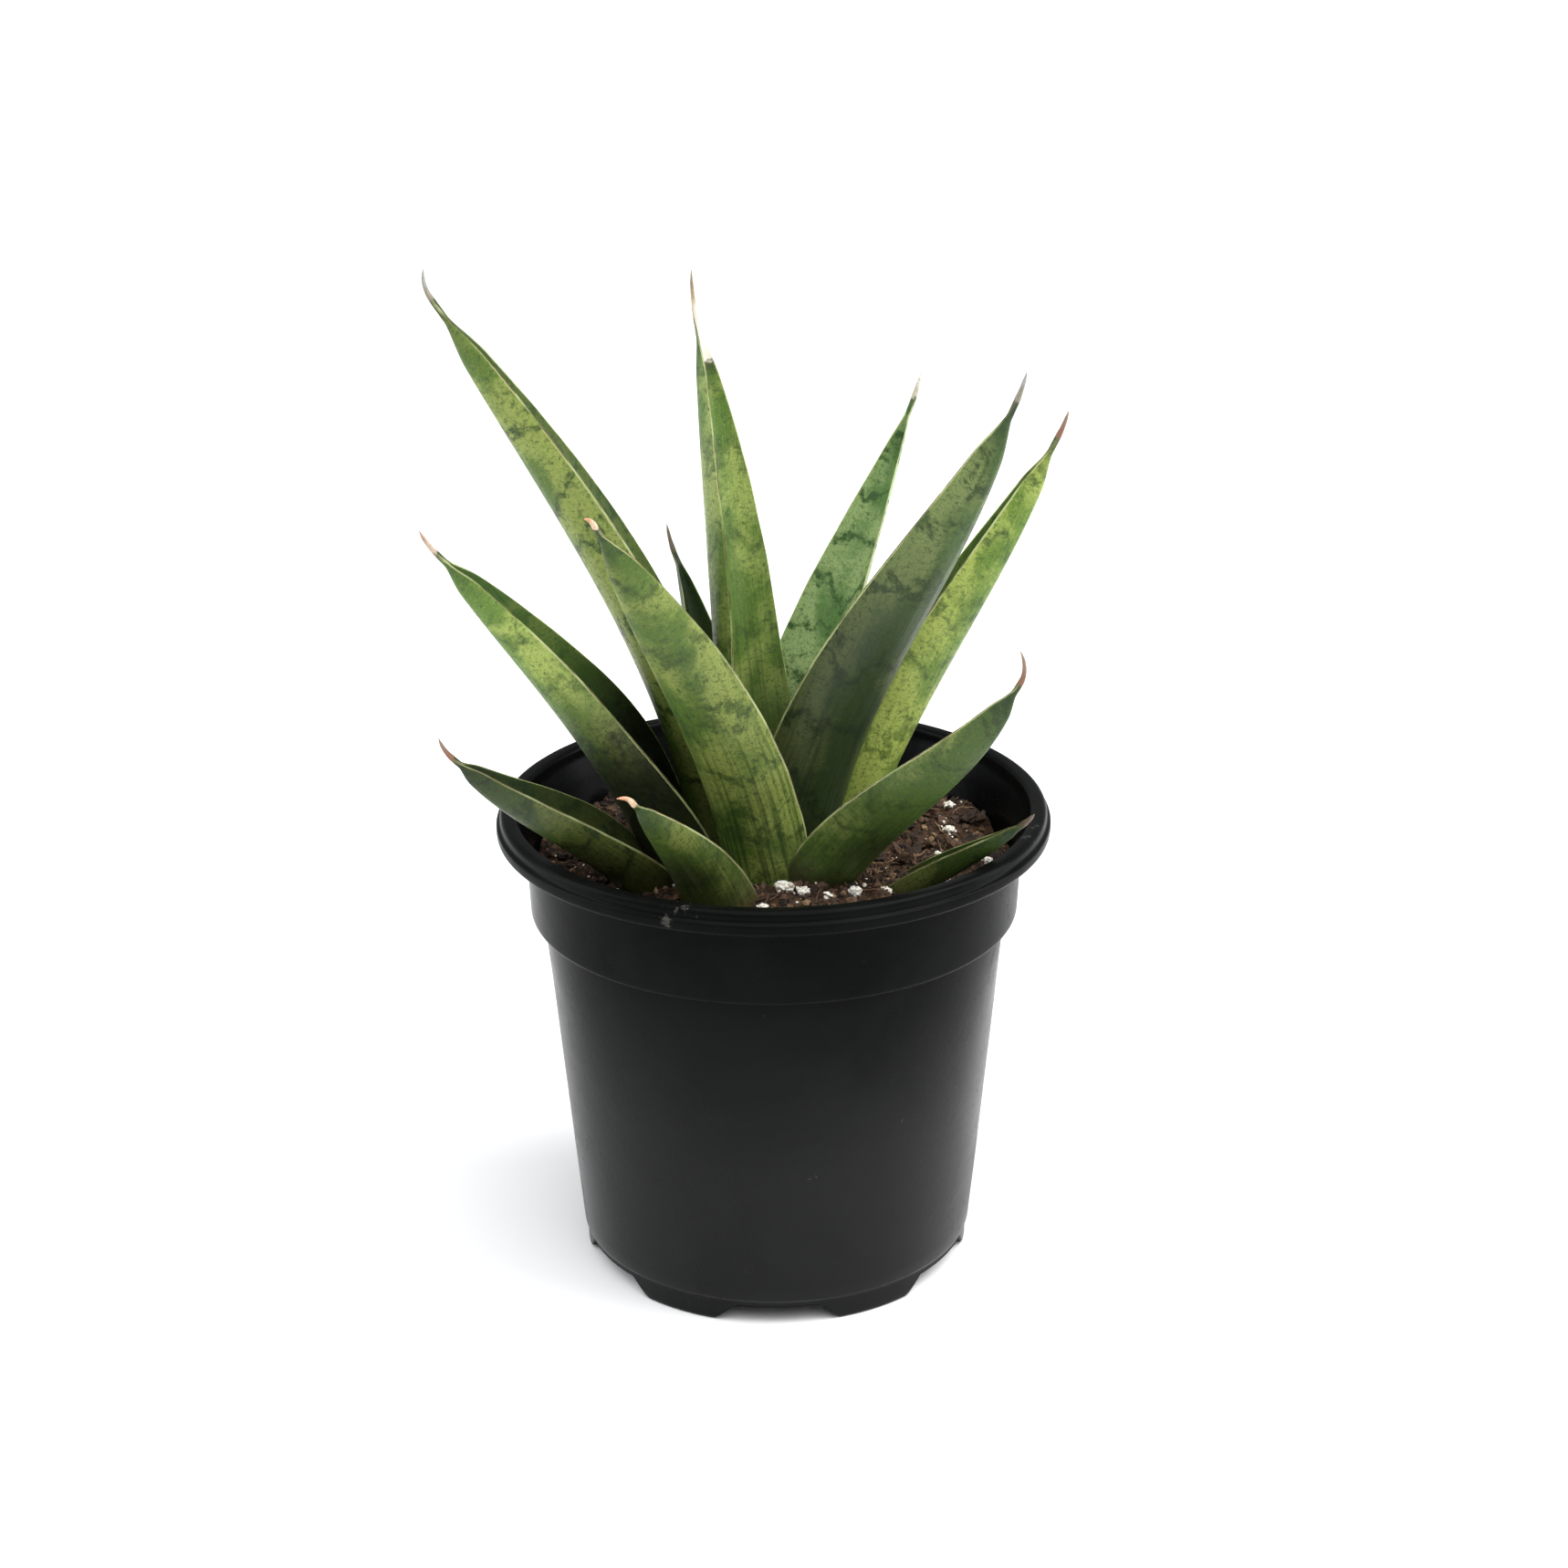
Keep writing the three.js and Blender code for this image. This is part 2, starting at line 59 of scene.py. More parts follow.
RIM_WIDTH = 4.8
RIM_DEPTH = 5
COLLAR_TOP_RADIUS = 51.3
COLLAR_BOTTOM_RADIUS = 50.5
COLLAR_DEPTH = 22.6
BODY_TOP_RADIUS = 48
BODY_BOTTOM_RADIUS = 41.4
FOOT_RADIUS = 40.7
SEAM_HEIGHT = 5.2
WALL = 1.3
FLOOR = 1.5
CHANNEL_COUNT = 6
CHANNEL_HEIGHT = 3.7
CHANNEL_FLOOR_ARC = 38
CHANNEL_ROOF_ARC = 25
CHANNEL_INNER_RADIUS = 21
FRONT = 270  # azimuth of -Y
INSIDE_RADIUS = COLLAR_BOTTOM_RADIUS - WALL  # the pot's inside at the foot of its collar

SOIL_DEPTH_BELOW_RIM = 12.4
SOIL_MOUND = 4.5
SOIL_MOUND_SPREAD = 30
SOIL_ROUGHNESS = 0.7
SOIL_LEVEL = POT_HEIGHT - SOIL_DEPTH_BELOW_RIM
CROWN_CENTRE = (0, -3)

# ---- Sizes of what only the visible model has ----

POT_SEGMENTS = 288
CHANNEL_END = 1.2  # how far the inner end of a channel slopes
POT_WAVE = 0.12  # how far the moulded wall wanders
RIM_DUST = ((-18, -53.5, 98), (51, -19, 98.5))  # where crumbs of peat dust cling
SOIL_RINGS, SOIL_SECTORS = 130, 300
CRUMB_RELIEF = 0.95
CRUMB_COUNT = 3800
CHUNK_COUNT = 150
FINES_COUNT = 420
FIBRE_COUNT = 520
GRAIN_DETAIL = 4
PERLITE_SWELL = 1.18  # makes up for the hollows between a grain's lobes
PERLITE_LIFT = 0.3
FIRST_LUMP = 31  # keeps the lumps' numbers and seeds clear of the perlite grains'

# ---- Leaves: sizes and looks ----

# A row starts from the leaf's CAD row: base, azimuth, sweep, lean, length, width, thick, cup and taper.
# Some dry spines are shorter than in the CAD, and the back centre leaf has a higher taper.
# roll: how far the blade has turned about its own length by its middle, in degrees;
# spine: length of the dry tip; hook: how far it bends, in degrees of lean and of azimuth;
# tone: 0 is bluish, 1 is yellow; dark: how much of the blade is dull green;
# bands and band_gap: strength and spacing of the dark cross bands; streaks: strength of the long streaks;
# papery: how far from the tip the channel is dry and white; shade: painted light and shade, the lightness of
# the whole blade as it is lit;
# foot: lightness left near the soil, and the share of the length where that ends; painted shade, partly the
# real darker leaf base, and painted light where above 1;
# inner: painted shade in the channel, how much darker it is.
LEAVES = {
    "leaf_slim_back_right": dict(
        base=(2, 12, 17), azimuth=36, sweep=-2, lean=(-10, 42, 21), length=119,
        width=18, thick=4, cup=5.4, taper=1.6, roll=30, spine=5, hook=(-6, 0),
        tone=0, dark=0.28, bands=1, band_gap=10, streaks=0.1, dry="pale",
        shade=2, foot=(0.75, 0.48), inner=0,
    ),
    "leaf_centre_back": dict(
        base=(-6.5, 9.5, 17), azimuth=122, sweep=-8, lean=(-8, 14, 23), length=137,
        width=21, thick=4, cup=5.4, taper=2.1, roll=34, spine=9, hook=(-24, 10),
        tone=0.6, dark=0.55, bands=0.7, band_gap=19, streaks=0.5, dry="tan", papery=18,
        shade=1.03, foot=(0.34, 0.5), inner=0,
    ),
    "leaf_tall_left": dict(
        base=(-11, 0, 17), azimuth=188, sweep=0, lean=(-5, 39, 32), length=156,
        width=22, thick=4.5, cup=7.6, taper=2.0, roll=-2, spine=6, hook=(-42, 0),
        tone=0.8, dark=0.3, bands=1, band_gap=17, streaks=0.1, dry="grey",
        shade=0.84, foot=(0.6, 0.48), inner=0.75,
    ),
    "leaf_bright_right": dict(
        base=(10, 3, 17), azimuth=357, sweep=-2, lean=(2, 46, 23), length=123,
        width=19, thick=4.5, cup=8.5, taper=1.6, roll=0, spine=5, hook=(-8, 0),
        tone=0.85, dark=0.3, bands=0.75, band_gap=15, streaks=0.2, dry="red",
        shade=1.18, foot=(0.85, 0.45), inner=0.7,
    ),
    "leaf_broad_right": dict(
        base=(5, -5, 17), azimuth=326, sweep=-2, lean=(-8, 53, 21), length=141,
        width=24, thick=5, cup=8.2, taper=1.9, roll=0, spine=5.5, hook=(-6, 0),
        tone=0.3, dark=0.52, bands=0.85, band_gap=17, streaks=0.7, dry="grey",
        shade=0.78, foot=(0.42, 0.8), inner=0.6,
    ),
    "leaf_hidden_back": dict(
        base=(-10, 12, 17), azimuth=124, sweep=0, lean=(-1, 11, 36), length=84,
        width=15, thick=3.6, cup=4.5, taper=1.6, roll=0, spine=5, hook=(-20, 0),
        tone=0.4, dark=0.6, bands=0.5, band_gap=14, streaks=0.2, dry="dark",
        shade=0.4, foot=(0.5, 0.48), inner=0.6,
    ),
    "leaf_mid_left": dict(
        base=(-15, -4, 17), azimuth=200, sweep=0, lean=(6, 47, 39), length=112,
        width=21, thick=5, cup=8.4, taper=1.6, roll=-16, spine=5, hook=(-15, 0),
        tone=0.7, dark=0.62, bands=0.7, band_gap=17, streaks=0.25, dry="pink",
        shade=1.3, foot=(0.05, 0.68), inner=0.75,
    ),
    "leaf_broad_front": dict(
        base=(-3, -14, 17), azimuth=225, sweep=-3, lean=(-7, 43, 30), length=115,
        width=21, thick=4.8, cup=7.2, taper=2.5, roll=0, spine=3, hook=(46, 0),
        tone=0.75, dark=0.38, bands=0.8, band_gap=15, streaks=0.85, dry="orange",
        shade=0.77, foot=(1.15, 0.45), inner=0.6,
    ),
    "leaf_low_right": dict(
        base=(6, -13, 10), azimuth=322, sweep=-6, lean=(16, 76, 23), length=92,
        width=17.5, thick=4.4, cup=6.8, taper=1.7, roll=0, spine=6.5, hook=(-60, 0),
        tone=0.65, dark=0.7, bands=0.7, band_gap=15, streaks=0.3, dry="red",
        shade=0.6, foot=(1.55, 0.45), inner=0.6,
    ),
    "leaf_low_left": dict(
        base=(-19, -12, 13.5), azimuth=208, sweep=0, lean=(13, 83, 36), length=76,
        width=16, thick=4.3, cup=5.6, taper=1.8, roll=-10, spine=5, hook=(-20, 0),
        tone=0.85, dark=0.6, bands=0.9, band_gap=12, streaks=0.2, dry="red",
        shade=0.3, foot=(0.7, 0.48), inner=0.6,
    ),
    "leaf_short_front": dict(
        base=(-10.5, -23, 13), azimuth=237, sweep=4, lean=(0, 66, 39), length=62,
        width=17, thick=4, cup=5, taper=1.6, roll=0, spine=5, hook=(45, -20),
        tone=0.75, dark=0.7, bands=0.6, band_gap=14, streaks=0.4, dry="orange",
        shade=0.5, foot=(0.95, 0.48), inner=0.6,
    ),
    "leaf_soil_right": dict(
        base=(17, -15, 11), azimuth=332, sweep=-3, lean=(31, 71, 45), length=52,
        width=9, thick=3, cup=3, taper=1.6, roll=0, spine=3, hook=(-10, 0),
        tone=0.7, dark=0.8, bands=0.6, band_gap=11, streaks=0.3, dry="dark",
        shade=0.5, foot=(0.8, 0.48), inner=0.6,
    ),
}
LEAF_BASE_SHARE = 0.62
LEAF_FULL_WIDTH_AT = 0.28
PATH_STEPS = 600
ROLL_SPAN = (0.08, 0.5)  # shares of the length between which the blade turns
LEAF_STATIONS = 170
SPINE_STATIONS = 24
SPINE_SHARES = (0, 0.25, 0.7, 1)
SPINE_RADII = (0.62, 0.5, 0.36, 0.08)
OUTER_STEPS = 44
INNER_STEPS = 28
RIDGE_HEIGHT = 0.09
MARGIN_REACH = 2  # points each side of a margin that are rounded
MARGIN_PASSES = 3
DRY_TONES = {  # colours of the dry spine, near the green and at the end
    "pale": ((0.5, 0.46, 0.36), (0.68, 0.66, 0.6)),
    "grey": ((0.26, 0.24, 0.19), (0.32, 0.33, 0.32)),
    "tan": ((0.5, 0.37, 0.23), (0.3, 0.22, 0.17)),
    "red": ((0.24, 0.11, 0.07), (0.26, 0.18, 0.14)),
    "orange": ((0.75, 0.55, 0.38), (0.62, 0.3, 0.17)),
    "pink": ((0.6, 0.47, 0.38), (0.4, 0.26, 0.2)),
    "dark": ((0.1, 0.07, 0.05), (0.16, 0.12, 0.1)),
}


# ---- Noise and meshes ----

def smooth(value, low, high):
    """From 0 at low to 1 at high, level at both ends."""
    share = np.clip((value - low) / (high - low), 0, 1)
    return share * share * (3 - 2 * share)


def hashed(cells, seed):
    """A fixed random number from 0 to 1 for each row of whole numbers."""
    mixed = cells[..., 0] * 374761393 + cells[..., 1] * 668265263 + cells[..., 2] * 2147483647 + seed * 974711
    mixed = (mixed ^ (mixed >> 13)) * 1274126177
    mixed = mixed ^ (mixed >> 16)
    return (mixed & 0xFFFF) / 65535.0


def noise(points, seed):
    """Smooth noise from -1 to 1 at points (n, 3), one cell a unit wide."""
    cell = np.floor(points).astype(np.int64)
    part = points - cell
    part = part * part * (3 - 2 * part)
    total = np.zeros(points.shape[0])
    for corner in range(8):
        step = np.array([corner & 1, (corner >> 1) & 1, (corner >> 2) & 1])
        weight = np.prod(np.where(step, part, 1 - part), axis=1)
        total += weight * hashed(cell + step, seed)
    return total * 2 - 1


def layered(points, seed, octaves):
    """Noise with finer and weaker layers added."""
    total = np.zeros(points.shape[0])
    for octave in range(octaves):
        total += noise(points * 2 ** octave, seed + octave) / 2 ** octave
    return total


def new_object(name, vertices, faces, smooth_faces=True):
    """A mesh object from millimetre vertices."""
    mesh = bpy.data.meshes.new(name)
    mesh.from_pydata((np.asarray(vertices) * MM).tolist(), [], [tuple(face) for face in faces])
    mesh.validate()
    if smooth_faces:
        mesh.polygons.foreach_set("use_smooth", [True] * len(mesh.polygons))
    mesh.update()
    piece = bpy.data.objects.new(name, mesh)
    bpy.context.scene.collection.objects.link(piece)
    return piece


def set_attribute(piece, name, values):
    """Stores one number for each vertex, which a material can read."""
    attribute = piece.data.attributes.new(name, "FLOAT", "POINT")
    attribute.data.foreach_set("value", np.asarray(values, dtype=np.float32))


def grid_faces(rings, count):
    """Quads between rings of count points each, closed round each ring."""
    ring, step = np.meshgrid(np.arange(rings - 1), np.arange(count), indexing="ij")
    a = ring * count + step
    b = ring * count + (step + 1) % count
    return np.stack([a, b, b + count, a + count], -1).reshape(-1, 4).tolist()


def tube_faces(rings, count):
    """Faces of a closed tube: its quads, then its first and its last end."""
    faces = grid_faces(rings, count)
    faces.append(list(range(count))[::-1])
    faces.append([(rings - 1) * count + step for step in range(count)])
    return faces


def finish_piece(piece, slot, material, *nodes):
    """Gives a piece its material and its body, and hides the CAD nodes that it stands for; its slot is not
    used.
    """
    piece.data.materials.clear()
    piece.data.materials.append(material)
    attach(piece, BODY)
    if nodes:
        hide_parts(*nodes)


# ---- Material helper ----

class Graph:
    """Short calls that add shader nodes to one material."""

    def __init__(self, name):
        self.material = bpy.data.materials.new(name)
        self.material.use_nodes = True
        self.tree = self.material.node_tree
        self.shader = self.tree.nodes["Principled BSDF"]

    def put(self, socket, value):
        if isinstance(value, bpy.types.NodeSocket):
            self.tree.links.new(value, socket)
        elif value is not None:
            socket.default_value = value

    def set(self, name, value):
        self.put(self.shader.inputs[name], value)

    def math(self, operation, a, b=None, c=None):
        node = self.tree.nodes.new("ShaderNodeMath")
        node.operation = operation
        for socket, value in zip(node.inputs, (a, b, c)):
            self.put(socket, value)
        return node.outputs[0]

    def span(self, value, low, high, to_low=0.0, to_high=1.0):
        """Smoothly from to_low where value is low, to to_high where it is high."""
        node = self.tree.nodes.new("ShaderNodeMapRange")
        node.interpolation_type = "SMOOTHSTEP"
        for name, number in (("Value", value), ("From Min", low), ("From Max", high),
                             ("To Min", to_low), ("To Max", to_high)):
            self.put(node.inputs[name], number)
        return node.outputs["Result"]

    def mix(self, share, a, b, blend="MIX"):
        node = self.tree.nodes.new("ShaderNodeMix")
        node.data_type = "RGBA"
        node.blend_type = blend
        self.put(node.inputs["Factor"], share)
        colour_inputs = [socket for socket in node.inputs if socket.type == "RGBA"]
        for socket, value in zip(colour_inputs, (a, b)):
            self.put(socket, (*value, 1.0) if isinstance(value, tuple) else value)
        return next(socket for socket in node.outputs if socket.type == "RGBA")

    def attribute(self, name):
        node = self.tree.nodes.new("ShaderNodeAttribute")
        node.attribute_name = name
        return node.outputs["Fac"]

    def vector(self, x, y, z=0.0):
        node = self.tree.nodes.new("ShaderNodeCombineXYZ")
        for socket, value in zip(node.inputs, (x, y, z)):
            self.put(socket, value)
        return node.outputs[0]

    def place(self):
        return self.tree.nodes.new("ShaderNodeTexCoord").outputs["Object"]

    def noise(self, vector, scale, detail=3.0, roughness=0.55, distortion=0.0):
        node = self.tree.nodes.new("ShaderNodeTexNoise")
        for name, value in (("Vector", vector), ("Scale", scale), ("Detail", detail),
                            ("Roughness", roughness), ("Distortion", distortion)):
            self.put(node.inputs[name], value)
        return node.outputs["Fac"]

    def bump(self, height, distance, strength=1.0, under=None):
        node = self.tree.nodes.new("ShaderNodeBump")
        for name, value in (("Height", height), ("Distance", distance),
                            ("Strength", strength), ("Normal", under)):
            self.put(node.inputs[name], value)
        return node.outputs[0]


# ---- Leaves ----

def leaf_frames(leaf, shares):
    """Points of the middle line, and the along, inward and across directions there."""
    middle = (np.arange(PATH_STEPS) + 0.5) / PATH_STEPS
    green_share = 1 - leaf["spine"] / leaf["length"]

    def angles(at):
        base, belly, tip = leaf["lean"]
        lean = base * (1 - at) ** 2 + 2 * belly * at * (1 - at) + tip * at ** 2
        hooked = np.clip((at - green_share) / (1 - green_share), 0, 1)
        lean = lean + leaf["hook"][0] * hooked
        azimuth = leaf["azimuth"] + leaf["sweep"] * at + leaf["hook"][1] * hooked
        return np.radians(lean), np.radians(azimuth)

    def heading(lean, azimuth):
        return np.stack([np.sin(lean) * np.cos(azimuth), np.sin(lean) * np.sin(azimuth), np.cos(lean)], -1)

    walked = np.cumsum(heading(*angles(middle)), 0) * leaf["length"] / PATH_STEPS
    base_x, base_y, depth = leaf["base"]
    walked = np.vstack([[0, 0, 0], walked]) + np.array([base_x, base_y, SOIL_LEVEL - depth])
    knots = np.arange(PATH_STEPS + 1) / PATH_STEPS
    points = np.stack([np.interp(shares, knots, walked[:, axis]) for axis in range(3)], -1)
    lean, azimuth = angles(shares)
    along = heading(lean, azimuth)
    inward = np.stack([-np.cos(lean) * np.cos(azimuth), -np.cos(lean) * np.sin(azimuth), np.sin(lean)], -1)
    roll = (math.radians(leaf["roll"]) * smooth(shares, *ROLL_SPAN))[:, None]
    inward = inward * np.cos(roll) + np.cross(along, inward) * np.sin(roll)
    return points, along, inward, np.cross(inward, along)


def leaf_sections(leaf, shares, seed):
    """Half width, outer depth and channel depth at each share of the leaf's green length."""
    past = np.clip((shares - LEAF_FULL_WIDTH_AT) / (1 - LEAF_FULL_WIDTH_AT), 0, 1)
    taper = 1 - past ** leaf["taper"]
    spread = LEAF_BASE_SHARE + (1 - LEAF_BASE_SHARE) * smooth(shares, 0, LEAF_FULL_WIDTH_AT)
    line = np.stack([shares * 9, np.zeros_like(shares), np.full_like(shares, 3.7 * seed)], -1)
    wave = 1 + 0.035 * layered(line, seed, 2) * smooth(shares, 0.2, 0.4)
    half = leaf["width"] / 2 * spread * taper ** 1.1 * wave
    thick = leaf["thick"] * taper ** 0.6
    closed = smooth(shares, 0.9, 1)
    cup = leaf["cup"] * spread * taper ** 0.7 * (1 - closed)
    return half, thick, cup, closed


def leaf_piece(name, leaf, seed):
    """A blade with its dry spine. Its vertices say where on the blade they are, for the material."""
    green_share = 1 - leaf["spine"] / leaf["length"]
    even = np.linspace(0, 1, LEAF_STATIONS)
    up_spine = np.linspace(0, 1, SPINE_STATIONS)
    shares = np.concatenate([even[:-1] * green_share, green_share + (1 - green_share) * up_spine])
    green = np.clip(shares / green_share, 0, 1)
    dry = np.clip((shares - green_share) / (1 - green_share), 0, 1)
    points, _, inward, across = leaf_frames(leaf, shares)
    half, thick, cup, closed = leaf_sections(leaf, green, seed)
    spine = np.interp(dry, SPINE_SHARES, SPINE_RADII)
    half = np.maximum(half, spine)
    thick = np.maximum(thick, 2 * spine)
    cup = cup - spine * closed
    outer = cup + thick

    outer_angle = np.pi * (1 + np.linspace(0, 1, OUTER_STEPS + 1))
    inner_side = np.cos(np.pi * np.arange(1, INNER_STEPS) / INNER_STEPS)
    x = np.concatenate([np.cos(outer_angle), inner_side])
    lift_outer = np.concatenate([np.sin(outer_angle), np.zeros(INNER_STEPS - 1)])
    lift_inner = np.concatenate([np.zeros(OUTER_STEPS + 1), -(1 - inner_side ** 2)])
    margin = (outer + np.minimum(cup, 0)) / 2
    side = half[:, None] * x[None, :]
    rise = margin[:, None] + outer[:, None] * lift_outer[None, :] + cup[:, None] * lift_inner[None, :]
    side, rise = round_margins(side, rise)

    count = x.size
    inside = np.zeros(count)
    inside[OUTER_STEPS + 1:] = 1
    arc = np.hypot(np.diff(side, axis=1, append=side[:, :1]), np.diff(rise, axis=1, append=rise[:, :1]))
    walked = np.cumsum(arc, 1) - arc
    total = walked[:, OUTER_STEPS][:, None]
    loop = arc.sum(1)[:, None]
    edge = np.minimum(np.abs(walked), np.minimum(np.abs(walked - total), loop - walked))
    across_mm = np.where(inside[None, :] > 0, walked - total - (loop - total) / 2, walked - total / 2)

    rows = shares.size
    along_mm = np.repeat((shares * leaf["length"])[:, None], count, 1)
    ridge_at = np.stack([across_mm * 0.9 + 31 * seed, along_mm * 0.03, np.full_like(along_mm, seed)], -1)
    ridge = layered(ridge_at.reshape(-1, 3), seed, 2).reshape(rows, count)
    strength = RIDGE_HEIGHT * smooth(edge, 0.6, 2.5) * (0.4 + 0.6 * leaf["streaks"])
    ridge *= strength * (1 - smooth(green, 0.85, 1))[:, None]
    rise = rise - np.where(inside[None, :] > 0, -ridge, ridge)

    positions = points[:, None, :] + side[..., None] * across[:, None, :]
    positions = positions + rise[..., None] * inward[:, None, :]
    piece = new_object(name + "_blade", positions.reshape(-1, 3), tube_faces(rows, count))
    set_attribute(piece, "across", across_mm.ravel())
    set_attribute(piece, "along", along_mm.ravel())
    set_attribute(piece, "edge", edge.ravel())
    set_attribute(piece, "inside", np.tile(inside, rows))
    set_attribute(piece, "to_tip", (leaf["length"] - along_mm).ravel())
    return piece


def round_margins(side, rise):
    """Rounds the two sharp margins of each section by averaging the points near them."""
    count = side.shape[1]
    near = np.zeros(count, bool)
    for margin in (0, OUTER_STEPS):
        for offset in range(-MARGIN_REACH, MARGIN_REACH + 1):
            near[(margin + offset) % count] = True
    for _ in range(MARGIN_PASSES):
        for values in (side, rise):
            mean = (np.roll(values, 1, 1) + np.roll(values, -1, 1) + 2 * values) / 4
            values[:, near] = mean[:, near]
    return side, rise


def leaf_material(name, leaf, seed):
    """Mottled green skin, from the ground colour up to the dry tip. Its patterns are in millimetres."""
    g = Graph(name)
    across, along = g.attribute("across"), g.attribute("along")
    edge, inside, to_tip = g.attribute("edge"), g.attribute("inside"), g.attribute("to_tip")
    offset = 17.3 * seed
    length, width, spine = leaf["length"], leaf["width"], leaf["spine"]

    def pattern(across_scale, along_scale, detail, roughness, distortion, shift=0.0):
        at = g.vector(
            g.math("MULTIPLY", across, across_scale),
            g.math("MULTIPLY", along, along_scale),
            offset + shift,
        )
        return g.noise(at, 1.0, detail, roughness, distortion)

    drift = pattern(0.09, 0.06, 3.0, 0.6, 0.5)
    ragged = pattern(0.5, 0.6, 4.0, 0.7, 0.4, 5.1)
    patches = pattern(0.07, 0.05, 2.0, 0.5, 0.3, 9.7)
    mottle = pattern(1.0, 1.2, 4.0, 0.75, 0.6, 2.3)
    streaks = pattern(1.4, 0.03, 3.0, 0.6, 0.2, 7.9)

    # The ground: light green, with dull green over part of it, more so away from the margins.
    tone = leaf["tone"]
    light = blend_of((0.16, 0.215, 0.088), (0.32, 0.385, 0.075), tone)
    middle = blend_of((0.05, 0.105, 0.026), (0.095, 0.17, 0.014), tone)
    deep = blend_of((0.01, 0.033, 0.007), (0.015, 0.045, 0.004), tone)

    to_margin = g.span(g.math("ABSOLUTE", across), 0.0, width * 0.62)
    cover = g.math("MULTIPLY_ADD", to_margin, -0.2, g.math("MULTIPLY_ADD", ragged, 0.3, patches))
    dull = g.span(cover, 0.66 - 0.4 * leaf["dark"], 0.86 - 0.4 * leaf["dark"])
    colour = g.mix(dull, light, middle)

    # Ragged dark cross bands.
    turn = g.math("MULTIPLY_ADD", along, 1 / leaf["band_gap"], g.math("MULTIPLY", drift, 2.6))
    turn = g.math("FRACT", turn)
    off_band = g.math("ABSOLUTE", g.math("SUBTRACT", turn, 0.5))
    off_band = g.math("MULTIPLY_ADD", ragged, 0.75, off_band)
    band = g.span(off_band, 0.36, 0.55, 1.0, 0.0)
    band = g.math("MULTIPLY", band, g.span(mottle, 0.3, 0.55, 0.55, 1.0))
    colour = g.mix(g.math("MULTIPLY", band, leaf["bands"]), colour, deep)

    # Mottling, flecks and long streaks, then painted shade in the channel, and the darker tip.
    colour = g.mix(g.span(mottle, 0.5, 0.66, 0.0, 0.75), colour, deep)
    flecks = pattern(1.9, 2.4, 4.0, 0.8, 0.3, 15.5)
    colour = g.mix(g.span(flecks, 0.5, 0.62, 0.0, 0.6), colour, middle)
    colour = g.mix(g.span(flecks, 0.46, 0.34, 0.0, 0.45), colour, light)
    streak_mask = g.span(streaks, 0.46, 0.64, 0.0, leaf["streaks"] * 0.8)
    lower = g.span(along, length * 0.75, length * 0.3)
    colour = g.mix(g.math("MULTIPLY", streak_mask, lower), colour, deep)
    # painted shade in the channel
    colour = g.mix(g.math("MULTIPLY", inside, leaf["inner"]), colour, deep)
    near_tip = g.span(g.math("MULTIPLY_ADD", ragged, 22.0, to_tip), spine + 28.0, spine + 11.0)
    colour = g.mix(g.math("MULTIPLY", near_tip, 0.8), colour, deep)

    # Painted light and shade: each blade's lightness as it is lit, and its change towards the soil, which is
    # painted shade on most blades, partly the real darker green of the leaf base, and painted light on a few.
    painted_foot_value, fade_end = leaf["foot"]
    up_leaf = g.math("MULTIPLY_ADD", ragged, 18.0, along)
    foot = g.span(up_leaf, length * (fade_end - 0.28) + 9, length * fade_end + 9, painted_foot_value, 1.0)
    value = g.math("MULTIPLY", foot, leaf["shade"])
    colour = g.mix(1.0, colour, g.vector(value, value, value), "MULTIPLY")

    # Broken cream and brown lines along the margins, and peat on the foot.
    wobble = g.math("MULTIPLY_ADD", mottle, 0.35, edge)
    cream_here = g.span(pattern(0.0, 0.06, 2, 0.6, 0, 12.1), 0.38, 0.54, 0.15, 1.0)
    cream = g.math("MULTIPLY", g.span(wobble, 0.4, 0.52, 1.0, 0.0), cream_here)
    # The margin lines take part of the blade's painted light and shade.
    margin_shade_factor = min(1, 0.4 + 0.6 * leaf["shade"])
    colour = g.mix(cream, colour, tuple(margin_shade_factor * part for part in (0.44, 0.48, 0.22)))
    brown_here = g.span(pattern(0.0, 0.11, 3, 0.6, 0, 3.3), 0.42, 0.56)
    brown = g.math("MULTIPLY", g.span(wobble, 0.22, 0.34, 1.0, 0.0), brown_here)
    colour = g.mix(brown, colour, (0.11, 0.06, 0.025))

    root_dirt = g.span(g.math("MULTIPLY_ADD", mottle, 12.0, along), 30.0, 18.0)
    colour = g.mix(g.math("MULTIPLY", root_dirt, 0.75), colour, (0.06, 0.04, 0.022))

    # The dry spine, with a scorched border below it.
    near_dry, end_dry = DRY_TONES[leaf["dry"]]
    dry_from = g.math("MULTIPLY_ADD", ragged, 4.0, to_tip)
    if leaf.get("papery"):
        dry_from = g.math("MULTIPLY_ADD", inside, spine - leaf["papery"], dry_from)
    scorch = g.span(dry_from, spine + 5.0, spine + 2.2)
    colour = g.mix(g.math("MULTIPLY", scorch, 0.75), colour, (0.05, 0.05, 0.018))
    dry_colour = g.mix(g.span(to_tip, spine * 0.85, spine * 0.25), near_dry, end_dry)
    dry_colour = g.mix(g.span(mottle, 0.35, 0.7, 0.0, 0.5), dry_colour, (0.14, 0.09, 0.055))
    if leaf.get("papery"):
        paper = g.math("MULTIPLY", inside, g.span(to_tip, spine * 0.6, spine * 0.9))
        dry_colour = g.mix(paper, dry_colour, (0.62, 0.58, 0.5))
    colour = g.mix(g.span(dry_from, spine + 2.9, spine + 2.1), colour, dry_colour)

    # A pale waxy bloom.
    bloom = g.span(patches, 0.35, 0.65, 0.02, 0.1 - 0.06 * tone)
    bloom = g.math("MULTIPLY", bloom, g.span(mottle, 0.3, 0.6))
    colour = g.mix(bloom, colour, (0.23, 0.28, 0.2))

